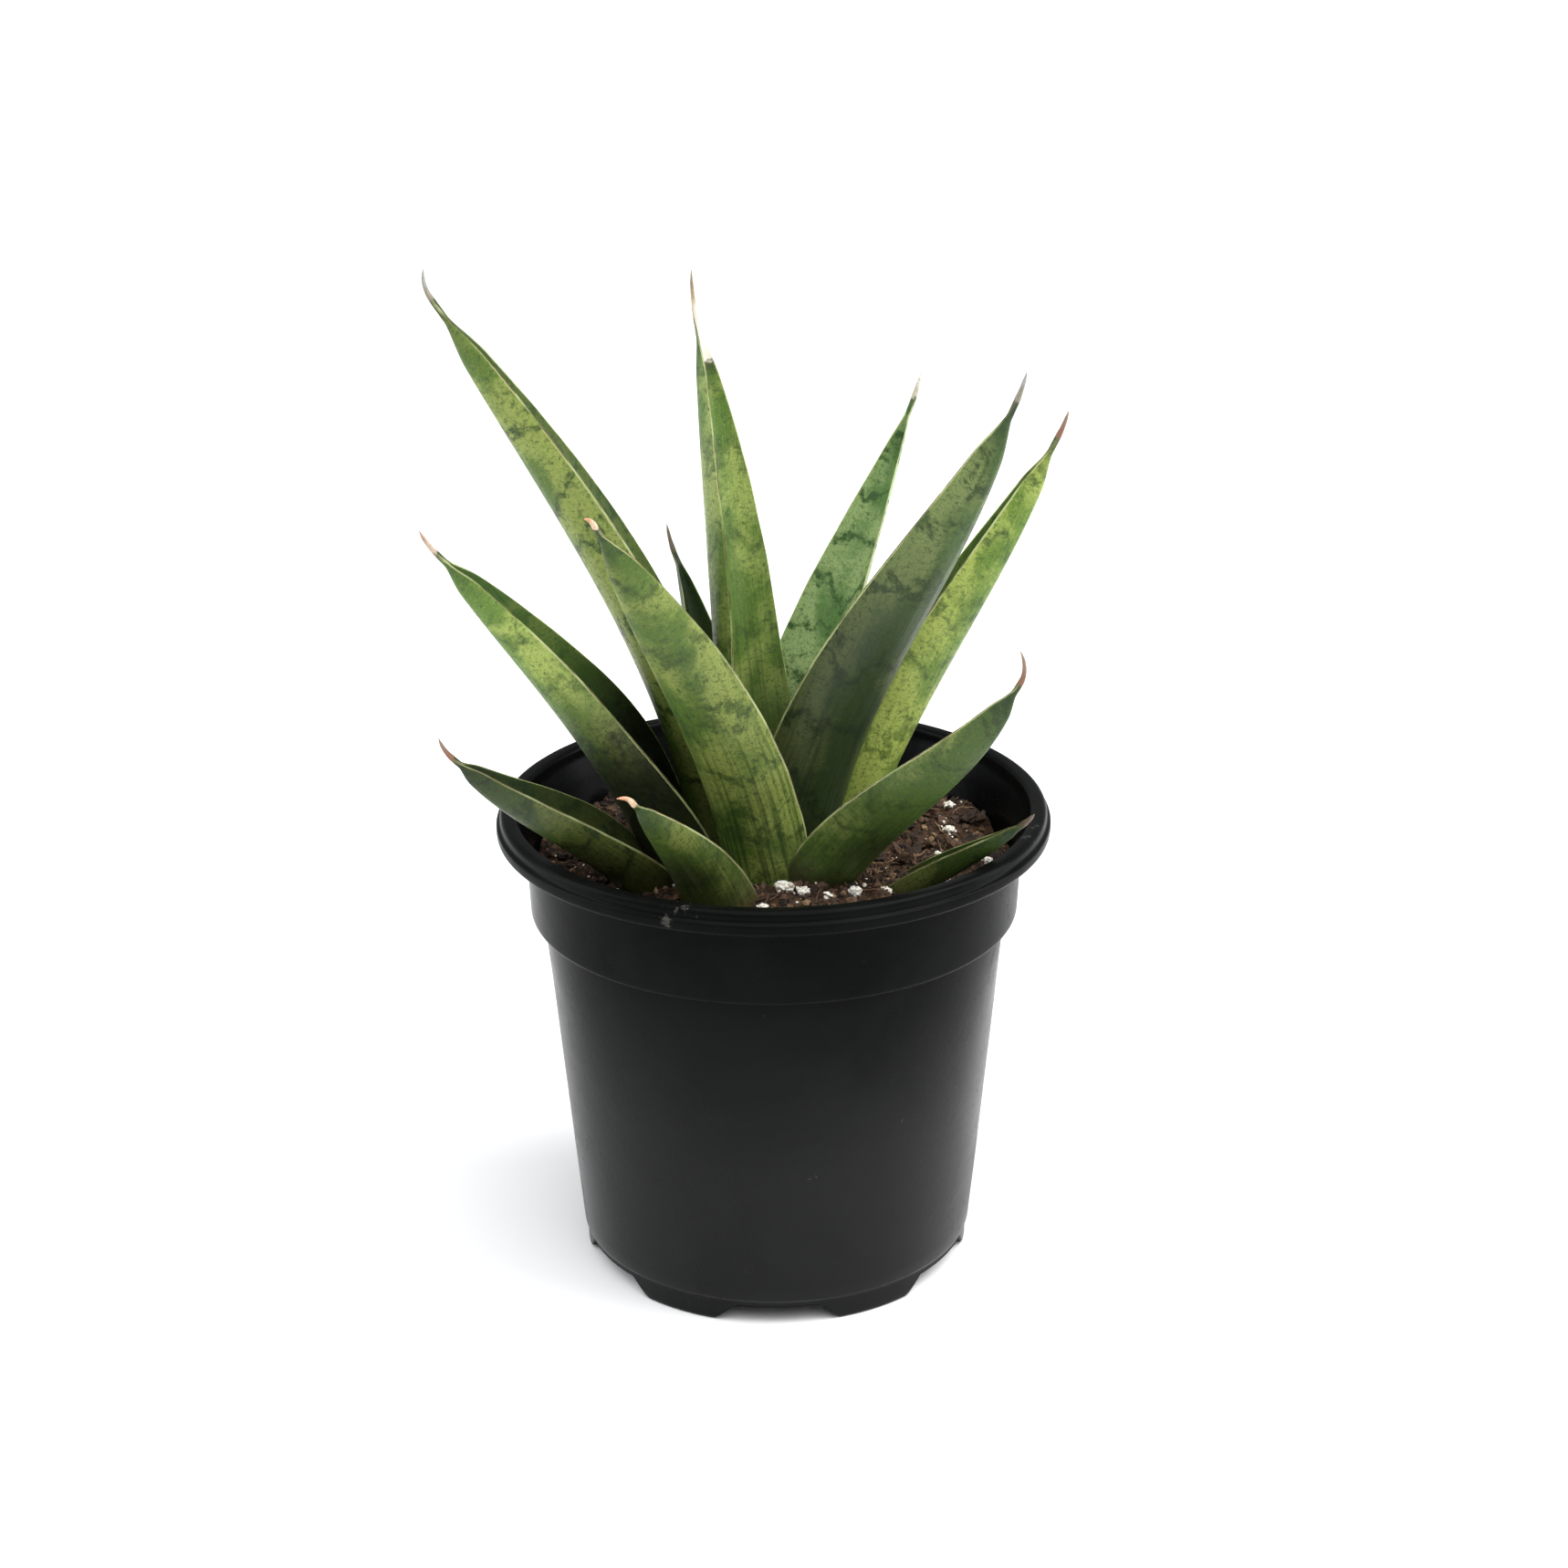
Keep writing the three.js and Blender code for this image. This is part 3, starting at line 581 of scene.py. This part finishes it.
    g.set("Base Color", colour)
    g.set("Roughness", g.span(mottle, 0.3, 0.7, 0.34, 0.5))
    g.set("Specular IOR Level", 0.22)
    g.set("Coat Weight", 0.06)
    g.set("Coat Roughness", 0.3)
    g.set("Subsurface Weight", 0.06)
    g.set("Subsurface Radius", (0.4, 0.6, 0.15))
    g.set("Subsurface Scale", 0.003)
    pores = pattern(3.0, 3.6, 2.0, 0.5, 0.0, 11.0)
    ribs = g.bump(streaks, 0.0004, 0.5)
    g.set("Normal", g.bump(g.math("ADD", g.math("MULTIPLY", pores, 0.5), mottle), 0.0001, 0.6, ribs))
    return g.material


def blend_of(blue, yellow, tone):
    """The colour that lies tone of the way from blue to yellow."""
    return tuple(a * (1 - tone) + b * tone for a, b in zip(blue, yellow))


# ---- Pot ----

def arc_points(middle, radius, start, end, count):
    """Points of an arc from start to end, in degrees."""
    angles = np.radians(np.linspace(start, end, count))
    return [(middle[0] + radius * math.cos(a), middle[1] + radius * math.sin(a)) for a in angles]


def pot_outline():
    """[radius, height] from the floor's middle, round the outside, over the rim and back inside.

    The small numbers are the lips, seams and rounded edges of the moulding.
    """
    step = POT_HEIGHT - COLLAR_DEPTH
    rim_bottom = POT_HEIGHT - RIM_DEPTH
    rim_middle = RIM_RADIUS - RIM_WIDTH / 2
    outline = [(radius, 0) for radius in np.linspace(1, CHANNEL_INNER_RADIUS, 6)]
    foot_from = CHANNEL_INNER_RADIUS + CHANNEL_END
    outline += [(radius, 0) for radius in np.linspace(foot_from, FOOT_RADIUS - 0.8, 8)]
    outline += arc_points((FOOT_RADIUS - 0.7, 0.7), 0.7, -80, 0, 4)
    outline += [(FOOT_RADIUS, height) for height in (1.6, 2.6, CHANNEL_HEIGHT, 4.2, SEAM_HEIGHT - 0.35)]
    outline += [(FOOT_RADIUS + 0.1, SEAM_HEIGHT - 0.12), (BODY_BOTTOM_RADIUS - 0.15, SEAM_HEIGHT + 0.1)]
    for share in np.linspace(0.005, 0.985, 26):
        outline.append((
            BODY_BOTTOM_RADIUS + share * (BODY_TOP_RADIUS - BODY_BOTTOM_RADIUS),
            SEAM_HEIGHT + 0.3 + share * (step - SEAM_HEIGHT - 0.3),
        ))
    outline += [(BODY_TOP_RADIUS, step - 0.25), (BODY_TOP_RADIUS + 0.2, step - 0.05)]
    outline += arc_points((COLLAR_BOTTOM_RADIUS - 1.1, step + 1.1), 1.1, -85, 0, 7)
    for share in np.linspace(0.08, 0.96, 8):
        outline.append((
            COLLAR_BOTTOM_RADIUS + share * (COLLAR_TOP_RADIUS - COLLAR_BOTTOM_RADIUS),
            step + 1.1 + share * (rim_bottom - step - 1.1),
        ))
    outline += arc_points((COLLAR_TOP_RADIUS + 0.9, rim_bottom - 0.9), 0.9, 180, 90, 5)
    outline += arc_points((RIM_RADIUS - 0.9, rim_bottom + 0.9), 0.9, -90, 0, 6)
    outline += [(RIM_RADIUS, POT_HEIGHT - 2.9), (RIM_RADIUS - 0.08, POT_HEIGHT - 2.62)]
    outline += [(RIM_RADIUS - 0.4, POT_HEIGHT - 2.4), (RIM_RADIUS - 0.75, POT_HEIGHT - 2.25)]
    outline += [(RIM_RADIUS - 0.8, POT_HEIGHT - 1.7)]
    outline += arc_points((RIM_RADIUS - 2.1, POT_HEIGHT - 1.3), 1.3, 5, 92, 7)
    outline += arc_points((rim_middle - 0.9, POT_HEIGHT - 1.2), 1.1, 95, 175, 6)
    outline += [(rim_middle - 2.05, POT_HEIGHT - 2.0), (rim_middle - 2.5, POT_HEIGHT - 3.6)]
    outline += [(COLLAR_TOP_RADIUS - WALL, rim_bottom - 1.5), (COLLAR_BOTTOM_RADIUS - WALL, step + 1.2)]
    outline += [(BODY_TOP_RADIUS - WALL + 0.6, step - WALL * 0.4), (BODY_TOP_RADIUS - WALL, step - 2)]
    outline += [(BODY_BOTTOM_RADIUS - WALL, SEAM_HEIGHT + 0.3), (FOOT_RADIUS - WALL - 0.6, FLOOR)]
    floor_to = FOOT_RADIUS - WALL - 1.6
    outline += [(radius, FLOOR) for radius in np.linspace(floor_to, CHANNEL_INNER_RADIUS, 6)]
    outline += [(radius, FLOOR) for radius in np.linspace(CHANNEL_INNER_RADIUS - CHANNEL_END, 1, 4)]
    return np.array(outline)


def pot_piece():
    """The outline turned about the pot's axis, with its floor raised over the channels."""
    outline = pot_outline()
    azimuth = np.radians(np.arange(POT_SEGMENTS) * 360 / POT_SEGMENTS)
    radius = np.repeat(outline[:, :1], POT_SEGMENTS, 1)
    height = np.repeat(outline[:, 1:], POT_SEGMENTS, 1)
    spacing = 360 / CHANNEL_COUNT
    off = np.abs((np.degrees(azimuth) - FRONT + spacing / 2) % spacing - spacing / 2)
    side_arc = (CHANNEL_FLOOR_ARC - CHANNEL_ROOF_ARC) / 2
    roof = CHANNEL_HEIGHT * np.clip((CHANNEL_FLOOR_ARC / 2 - off) / side_arc, 0, 1)
    inner_row = np.arange(len(outline)) > len(outline) // 2
    reach = np.clip((radius - CHANNEL_INNER_RADIUS) / CHANNEL_END, 0, 1)
    lifted = np.maximum(height, roof[None, :] * reach + np.where(inner_row, FLOOR, 0)[:, None])
    low = height < CHANNEL_HEIGHT + FLOOR
    height = np.where(low, lifted, height)
    dents = layered(np.stack([
        np.cos(azimuth)[None, :] * radius / 26, np.sin(azimuth)[None, :] * radius / 26, height / 40,
    ], -1).reshape(-1, 3), 5, 2).reshape(radius.shape)
    body = smooth(height, 8, 20) * (1 - smooth(height, 66, 74))
    radius = radius + POT_WAVE * dents * body
    positions = np.stack([radius * np.cos(azimuth), radius * np.sin(azimuth), height], -1).reshape(-1, 3)
    return new_object("pot_shell", positions, tube_faces(len(outline), POT_SEGMENTS))


def pot_material():
    """Black plastic: shinier low down, dusty at the rim and scuffed low on the left."""
    g = Graph("black_plastic")
    place = g.place()
    apart = g.tree.nodes.new("ShaderNodeSeparateXYZ")
    g.put(apart.inputs[0], place)
    height = apart.outputs["Z"]
    cloud = g.noise(place, 28, 4, 0.6, 0.4)
    fine = g.noise(place, 900, 2, 0.5)
    dust = g.noise(place, 260, 5, 0.75)
    scratch = g.noise(place, 70, 6, 0.8, 2.5)
    colour = g.mix(g.span(cloud, 0.35, 0.7), (0.0024, 0.0026, 0.0026), (0.005, 0.0053, 0.0052))
    dusty = 0.0
    for spot in RIM_DUST:
        gap = g.tree.nodes.new("ShaderNodeVectorMath")
        gap.operation = "DISTANCE"
        g.put(gap.inputs[0], place)
        gap.inputs[1].default_value = Vector(spot) * MM
        dusty = g.math("ADD", g.span(gap.outputs["Value"], 0.008, 0.002, 0.0, 0.12), dusty)
    specks = g.span(g.math("ADD", dust, dusty), 0.68, 0.74)
    colour = g.mix(g.math("MULTIPLY", specks, 0.35), colour, (0.12, 0.115, 0.1))
    stretched = g.tree.nodes.new("ShaderNodeMapping")
    g.put(stretched.inputs["Vector"], place)
    stretched.inputs["Scale"].default_value = (1, 1, 0.3)
    scuffs = g.span(g.noise(stretched.outputs[0], 75, 5, 0.6, 0.7), 0.56, 0.76)
    scuffs = g.math("MULTIPLY", scuffs, g.span(height, 0.06, 0.035))
    scuffs = g.math("MULTIPLY", scuffs, g.span(apart.outputs["X"], -0.012, -0.03))
    colour = g.mix(g.math("MULTIPLY", scuffs, 0.5), colour, (0.03, 0.03, 0.029))
    g.set("Base Color", colour)
    rough = g.span(cloud, 0.3, 0.72, 0.22, 0.36)
    rough = g.math("ADD", rough, g.math("MULTIPLY", specks, 0.25))
    rough = g.math("MULTIPLY_ADD", scuffs, 0.12, rough)
    g.set("Roughness", g.math("ADD", rough, g.span(scratch, 0.55, 0.62, 0.0, 0.06)))
    g.set("Specular IOR Level", g.span(height, 0.03, 0.08, 0.13, 0.03))
    soft = g.bump(cloud, 0.0006, 0.3)
    g.set("Normal", g.bump(fine, 0.00004, 0.5, soft))
    return g.material


# ---- Soil ----

def soil_height(x, y):
    """The surface that the CAD soil has."""
    from_crown = np.hypot(x - CROWN_CENTRE[0], y - CROWN_CENTRE[1]) / SOIL_MOUND_SPREAD
    waves = np.sin(0.31 * x + 1.3) * np.cos(0.27 * y) + np.sin(0.17 * x - 0.23 * y)
    return SOIL_LEVEL + SOIL_MOUND * np.exp(-from_crown ** 2) + SOIL_ROUGHNESS * waves


def crumb_height(x, y):
    """The soil's surface with its crumbs and lumps."""
    flat = np.stack([x, y, np.zeros_like(x)], -1).reshape(-1, 3)
    lumps = layered(flat / 4.5, 21, 4).reshape(x.shape)
    return soil_height(x, y) + CRUMB_RELIEF * lumps


def soil_piece():
    """The bed: two rings up the pot's wall, then rings from the edge in to the middle."""
    edge = INSIDE_RADIUS - 0.2
    radius = edge * np.sqrt(np.linspace(1, 0.0004, SOIL_RINGS))
    azimuth = np.linspace(0, 2 * np.pi, SOIL_SECTORS, endpoint=False)
    x = radius[:, None] * np.cos(azimuth)
    y = radius[:, None] * np.sin(azimuth)
    top = np.stack([x, y, crumb_height(x, y)], -1)
    wall_rings = (
        (FLOOR + 4, BODY_BOTTOM_RADIUS - WALL - 1),
        (POT_HEIGHT - COLLAR_DEPTH - 2, BODY_TOP_RADIUS - WALL - 0.5),
    )
    wall = []
    for height, size in wall_rings:
        level = np.full(SOIL_SECTORS, height)
        wall.append(np.stack([size * np.cos(azimuth), size * np.sin(azimuth), level], -1))
    points = np.concatenate([np.array(wall), top]).reshape(-1, 3)
    return new_object("soil_bed", points, tube_faces(SOIL_RINGS + len(wall_rings), SOIL_SECTORS))


def soil_material():
    """Dark peat with pale fibres."""
    g = Graph("peat")
    place = g.place()
    clumps = g.noise(place, 420, 5, 0.7, 0.5)
    broad = g.noise(place, 90, 3, 0.6)
    fibre = g.noise(place, 1500, 3, 0.6, 1.5)
    colour = g.mix(g.span(clumps, 0.35, 0.65), (0.006, 0.0035, 0.002), (0.075, 0.038, 0.02))
    colour = g.mix(g.span(broad, 0.5, 0.7, 0.0, 0.6), colour, (0.11, 0.065, 0.036))
    colour = g.mix(g.span(fibre, 0.62, 0.7, 0.0, 0.8), colour, (0.24, 0.16, 0.09))
    g.set("Base Color", colour)
    g.set("Roughness", 0.92)
    g.set("Specular IOR Level", 0.25)
    g.set("Normal", g.bump(g.math("ADD", clumps, g.math("MULTIPLY", fibre, 0.3)), 0.0012, 1.0))
    return g.material


def crumb_material():
    """Peat whose lightness comes from each crumb's own tone."""
    g = Graph("peat_crumbs")
    tone = g.attribute("tone")
    grain = g.noise(g.place(), 1600, 3, 0.6)
    colour = g.mix(g.span(tone, 0.0, 0.75), (0.01, 0.0055, 0.0032), (0.1, 0.052, 0.028))
    colour = g.mix(g.span(tone, 0.75, 1.0), colour, (0.3, 0.19, 0.1))
    colour = g.mix(g.span(grain, 0.4, 0.7, 0.0, 0.5), colour, (0.03, 0.018, 0.01))
    g.set("Base Color", colour)
    g.set("Roughness", 0.9)
    g.set("Normal", g.bump(grain, 0.0007, 1.0))
    return g.material


def perlite_material():
    """Off-white, dented and stained by the peat."""
    g = Graph("perlite_grains")
    place = g.place()
    dents = g.noise(place, 1100, 4, 0.65)
    stain = g.noise(place, 330, 3, 0.6)
    colour = g.mix(g.span(dents, 0.35, 0.6), (0.62, 0.56, 0.44), (0.95, 0.93, 0.87))
    colour = g.mix(g.span(stain, 0.55, 0.72, 0.0, 0.55), colour, (0.36, 0.26, 0.16))
    g.set("Base Color", colour)
    g.set("Roughness", 0.8)
    g.set("Subsurface Weight", 0.1)
    g.set("Subsurface Radius", (1.0, 0.8, 0.6))
    g.set("Subsurface Scale", 0.001)
    g.set("Normal", g.bump(dents, 0.0006, 0.9))
    return g.material


def rhizome_material():
    """Pale tan cork with darker rings and clinging peat."""
    g = Graph("rhizome_cork")
    place = g.place()
    rings = g.noise(place, 160, 3, 0.6, 0.8)
    dirt = g.noise(place, 70, 5, 0.7)
    colour = g.mix(g.span(rings, 0.4, 0.6), (0.42, 0.27, 0.12), (0.24, 0.14, 0.06))
    colour = g.mix(g.span(dirt, 0.48, 0.6, 0.0, 0.8), colour, (0.05, 0.03, 0.018))
    g.set("Base Color", colour)
    g.set("Roughness", g.span(dirt, 0.4, 0.6, 0.6, 0.9))
    g.set("Normal", g.bump(rings, 0.0006, 0.7))
    return g.material


def stone_shape(detail):
    """Unit directions and faces of a subdivided icosahedron."""
    shape = bmesh.new()
    bmesh.ops.create_icosphere(shape, subdivisions=detail, radius=1)
    directions = np.array([v.co[:] for v in shape.verts])
    faces = [[v.index for v in face.verts] for face in shape.faces]
    shape.free()
    return directions, faces


def scatter(name, spots, sizes, flatness, detail, rough, seed, octaves=2, tone_limit=1.0):
    """Many uneven grains in one mesh, with a random tone for each."""
    rng = np.random.default_rng(seed)
    directions, faces = stone_shape(detail)
    count = len(directions)
    vertices, all_faces, tones = [], [], []
    for index, (spot, size) in enumerate(zip(spots, sizes)):
        bumps = 1 + rough * layered(directions * 1.3 + 7.7 * index + seed, seed, octaves)
        shape = directions * bumps[:, None] * np.array([1, rng.uniform(0.6, 1), flatness]) * size / 2
        angles = (rng.uniform(-0.7, 0.7), rng.uniform(-0.7, 0.7), rng.uniform(0, 6.28))
        turn = np.array(Euler(angles).to_matrix())
        vertices.append(shape @ turn.T + spot)
        all_faces += [[corner + index * count for corner in face] for face in faces]
        tones.append(np.full(count, rng.random() * tone_limit))
    piece = new_object(name, np.concatenate(vertices), all_faces, smooth_faces=detail > 1)
    set_attribute(piece, "tone", np.concatenate(tones))
    return piece


def random_spots(count, seed):
    """Places spread evenly over the soil, and the generator that made them."""
    rng = np.random.default_rng(seed)
    edge = INSIDE_RADIUS - 1.2
    radius = edge * np.sqrt(rng.uniform(0, 1, count))
    azimuth = rng.uniform(0, 2 * np.pi, count)
    return radius * np.cos(azimuth), radius * np.sin(azimuth), rng


def litter(name, count, spot_seed, smallest, spread, power, lift, **grain):
    """Grains strewn over the soil. A higher power makes more of them small."""
    x, y, rng = random_spots(count, spot_seed)
    sizes = smallest + spread * rng.random(count) ** power
    spots = np.stack([x, y, crumb_height(x, y) + lift * sizes], -1)
    return scatter(name, spots, sizes, **grain)


def crumb_pieces():
    return litter("peat_crumbs", CRUMB_COUNT, spot_seed=3, smallest=0.5, spread=2.4, power=3, lift=0.1,
                  flatness=0.7, detail=1, rough=0.45, seed=11)


def chunk_pieces():
    """Larger torn lumps of peat and bark."""
    return litter("peat_chunks", CHUNK_COUNT, spot_seed=5, smallest=1.8, spread=3.4, power=2, lift=0.05,
                  flatness=0.5, detail=4, rough=0.62, seed=13, octaves=4, tone_limit=0.55)


def perlite_fines():
    return litter("perlite_fines", FINES_COUNT, spot_seed=8, smallest=0.35, spread=1.1, power=2.5, lift=0.3,
                  flatness=0.85, detail=1, rough=0.35, seed=12)


def fibre_piece():
    """Short, thin, bent fibres lying on the soil."""
    x, y, rng = random_spots(FIBRE_COUNT, 14)
    sides, steps = 5, 7
    keep_within = INSIDE_RADIUS - 1
    profile = np.interp(np.arange(steps), [0, 1, steps - 2, steps - 1], [0.3, 1, 1, 0.3])
    turn = np.linspace(0, 2 * np.pi, sides, endpoint=False)
    vertices, faces, tones = [], [], []
    for index in range(x.size):
        length = rng.uniform(2, 8)
        heading = rng.uniform(0, 6.28) + np.linspace(0, rng.uniform(-1.6, 1.6), steps)
        px = x[index] + np.cumsum(np.cos(heading)) * length / steps
        py = y[index] + np.cumsum(np.sin(heading)) * length / steps
        keep_in = keep_within / np.maximum(np.hypot(px, py), keep_within)
        px, py = px * keep_in, py * keep_in
        pz = crumb_height(px, py) + 0.25 + rng.uniform(0, 0.7) * np.sin(np.linspace(0, 3.14, steps))
        radius = rng.uniform(0.07, 0.2) * profile
        for step in range(steps):
            normal = np.array([-np.sin(heading[step]), np.cos(heading[step]), 0])
            ring = np.outer(np.cos(turn), normal) + np.outer(np.sin(turn), [0, 0, 1])
            vertices.append(ring * radius[step] + [px[step], py[step], pz[step]])
        start = index * sides * steps
        faces += [[corner + start for corner in face] for face in tube_faces(steps, sides)]
        tones.append(np.full(sides * steps, rng.uniform(0.45, 1.0)))
    piece = new_object("peat_fibres", np.concatenate(vertices), faces)
    set_attribute(piece, "tone", np.concatenate(tones))
    return piece


def grain_piece(node, kind, seed):
    """One larger grain, at the place and about the size of its CAD node."""
    low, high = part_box(node)
    centre = (np.array(low) + np.array(high)) / 2 / MM
    reach = (np.array(high) - np.array(low)) / 2 / MM
    directions, faces = stone_shape(GRAIN_DETAIL)
    pops = layered(directions * 2.1 + 13.1 * seed, seed, 3)
    if kind == "perlite":
        lobes = np.abs(noise(directions * 2.3 + 3.1 * seed, seed + 9))
        small = np.abs(noise(directions * 6.1 + seed, seed + 5))
        shape = 0.98 + 0.06 * pops - 0.42 * (1 - lobes) ** 3 - 0.16 * (1 - small) ** 3
    else:
        shape = 0.82 + 0.3 * pops + 0.1 * noise(directions * 9.0 + seed, seed + 4)
    vertices = directions * shape[:, None] * reach + centre
    if kind == "perlite":
        vertices = centre + (vertices - centre) * PERLITE_SWELL + [0, 0, PERLITE_LIFT]
    return new_object(f"{kind}_grain_{seed:02d}", vertices, faces)


# ---- Stage ----

SENSOR_WIDTH = 36
LENS = 73.34
CAMERA_PLACE = (-0.03, -609.2, 346.5)
CAMERA_DOWN, CAMERA_AZIMUTH, CAMERA_ROLL = 21.77, -0.21, -0.37  # degrees
AREA_LIGHTS = (  # name, place, target, size, power and colour; in metres and watts
    ("key", (0.9, -0.2, 1.3), (0, 0, 0.1), (0.9, 0.9), 13, (1.0, 0.99, 0.97)),
    ("left", (-1.0, 0.0, 0.5), (0, 0, 0.08), (0.6, 1.2), 8, (0.95, 0.98, 1.0)),
    ("right", (1.0, 0.1, 0.45), (0, 0, 0.08), (0.4, 1.0), 6, (1, 1, 1)),
)
WORLD_COLOUR = (0.97, 0.985, 1.0, 1)
WORLD_STRENGTH = 0.42
FLOOR_SIZE = 8
FLOOR_COLOUR = (0.9, 0.9, 0.9, 1)


def camera():
    data = bpy.data.cameras.new("camera")
    data.sensor_width = SENSOR_WIDTH
    data.lens = LENS
    view = bpy.data.objects.new("camera", data)
    view.location = Vector(CAMERA_PLACE) * MM
    view.rotation_euler = (math.radians(90 - CAMERA_DOWN), 0, math.radians(CAMERA_AZIMUTH))
    view.rotation_euler.rotate_axis("Z", math.radians(CAMERA_ROLL))
    bpy.context.scene.collection.objects.link(view)
    bpy.context.scene.camera = view


def area_light(name, place, target, size, power, colour):
    data = bpy.data.lights.new(name, "AREA")
    data.shape = "RECTANGLE"
    data.size, data.size_y = size
    data.energy = power
    data.color = colour
    light = bpy.data.objects.new(name, data)
    light.location = place
    light.rotation_euler = (Vector(target) - Vector(place)).to_track_quat("-Z", "Y").to_euler()
    bpy.context.scene.collection.objects.link(light)


def sun_light(name, towards, angle, strength):
    """A sun towards that direction. A wide angle, in degrees, makes its shadows soft."""
    data = bpy.data.lights.new(name, "SUN")
    data.angle = math.radians(angle)
    data.energy = strength
    light = bpy.data.objects.new(name, data)
    light.rotation_euler = Vector(towards).to_track_quat("Z", "Y").to_euler()
    bpy.context.scene.collection.objects.link(light)


def stage():
    """A white floor, a pale world and soft studio lights."""
    bpy.ops.mesh.primitive_plane_add(size=FLOOR_SIZE)
    floor = bpy.context.object
    floor.name = "floor"
    g = Graph("floor_white")
    g.set("Base Color", FLOOR_COLOUR)
    g.set("Roughness", 0.6)
    floor.data.materials.append(g.material)
    scene = bpy.context.scene
    scene.view_settings.view_transform = "Standard"
    world = bpy.data.worlds.new("studio")
    world.use_nodes = True
    background = world.node_tree.nodes["Background"]
    background.inputs["Color"].default_value = WORLD_COLOUR
    background.inputs["Strength"].default_value = WORLD_STRENGTH
    scene.world = world
    for light in AREA_LIGHTS:
        area_light(*light)
    sun_light("sky", towards=(0.18, -0.35, 1.0), angle=75, strength=3.0)


# ---- Build ----

def nodes_from(start):
    """The CAD nodes whose names begin with start, in order."""
    return sorted(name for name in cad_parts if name.startswith(start))


camera()
stage()

for number, (leaf_name, leaf_row) in enumerate(LEAVES.items(), 1):
    blade = leaf_piece(leaf_name, leaf_row, number)
    finish_piece(blade, "leaf", leaf_material(leaf_name + "_skin", leaf_row, number), leaf_name)

finish_piece(pot_piece(), "pot_plastic", pot_material(), "pot")
peat = soil_material()
crumbs = crumb_material()
perlite = perlite_material()
finish_piece(soil_piece(), "soil", peat, "soil")
finish_piece(crumb_pieces(), "soil", crumbs)
finish_piece(chunk_pieces(), "soil", crumbs)
finish_piece(fibre_piece(), "soil", crumbs)
finish_piece(perlite_fines(), "perlite", perlite)
for number, node in enumerate(nodes_from("perlite"), 1):
    finish_piece(grain_piece(node, "perlite", number), "perlite", perlite, node)
for number, node in enumerate(nodes_from("peat_lump"), FIRST_LUMP):
    finish_piece(grain_piece(node, "lump", number), "soil", peat, node)

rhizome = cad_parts["rhizome"]
for slot in rhizome.material_slots:
    slot.material = rhizome_material()
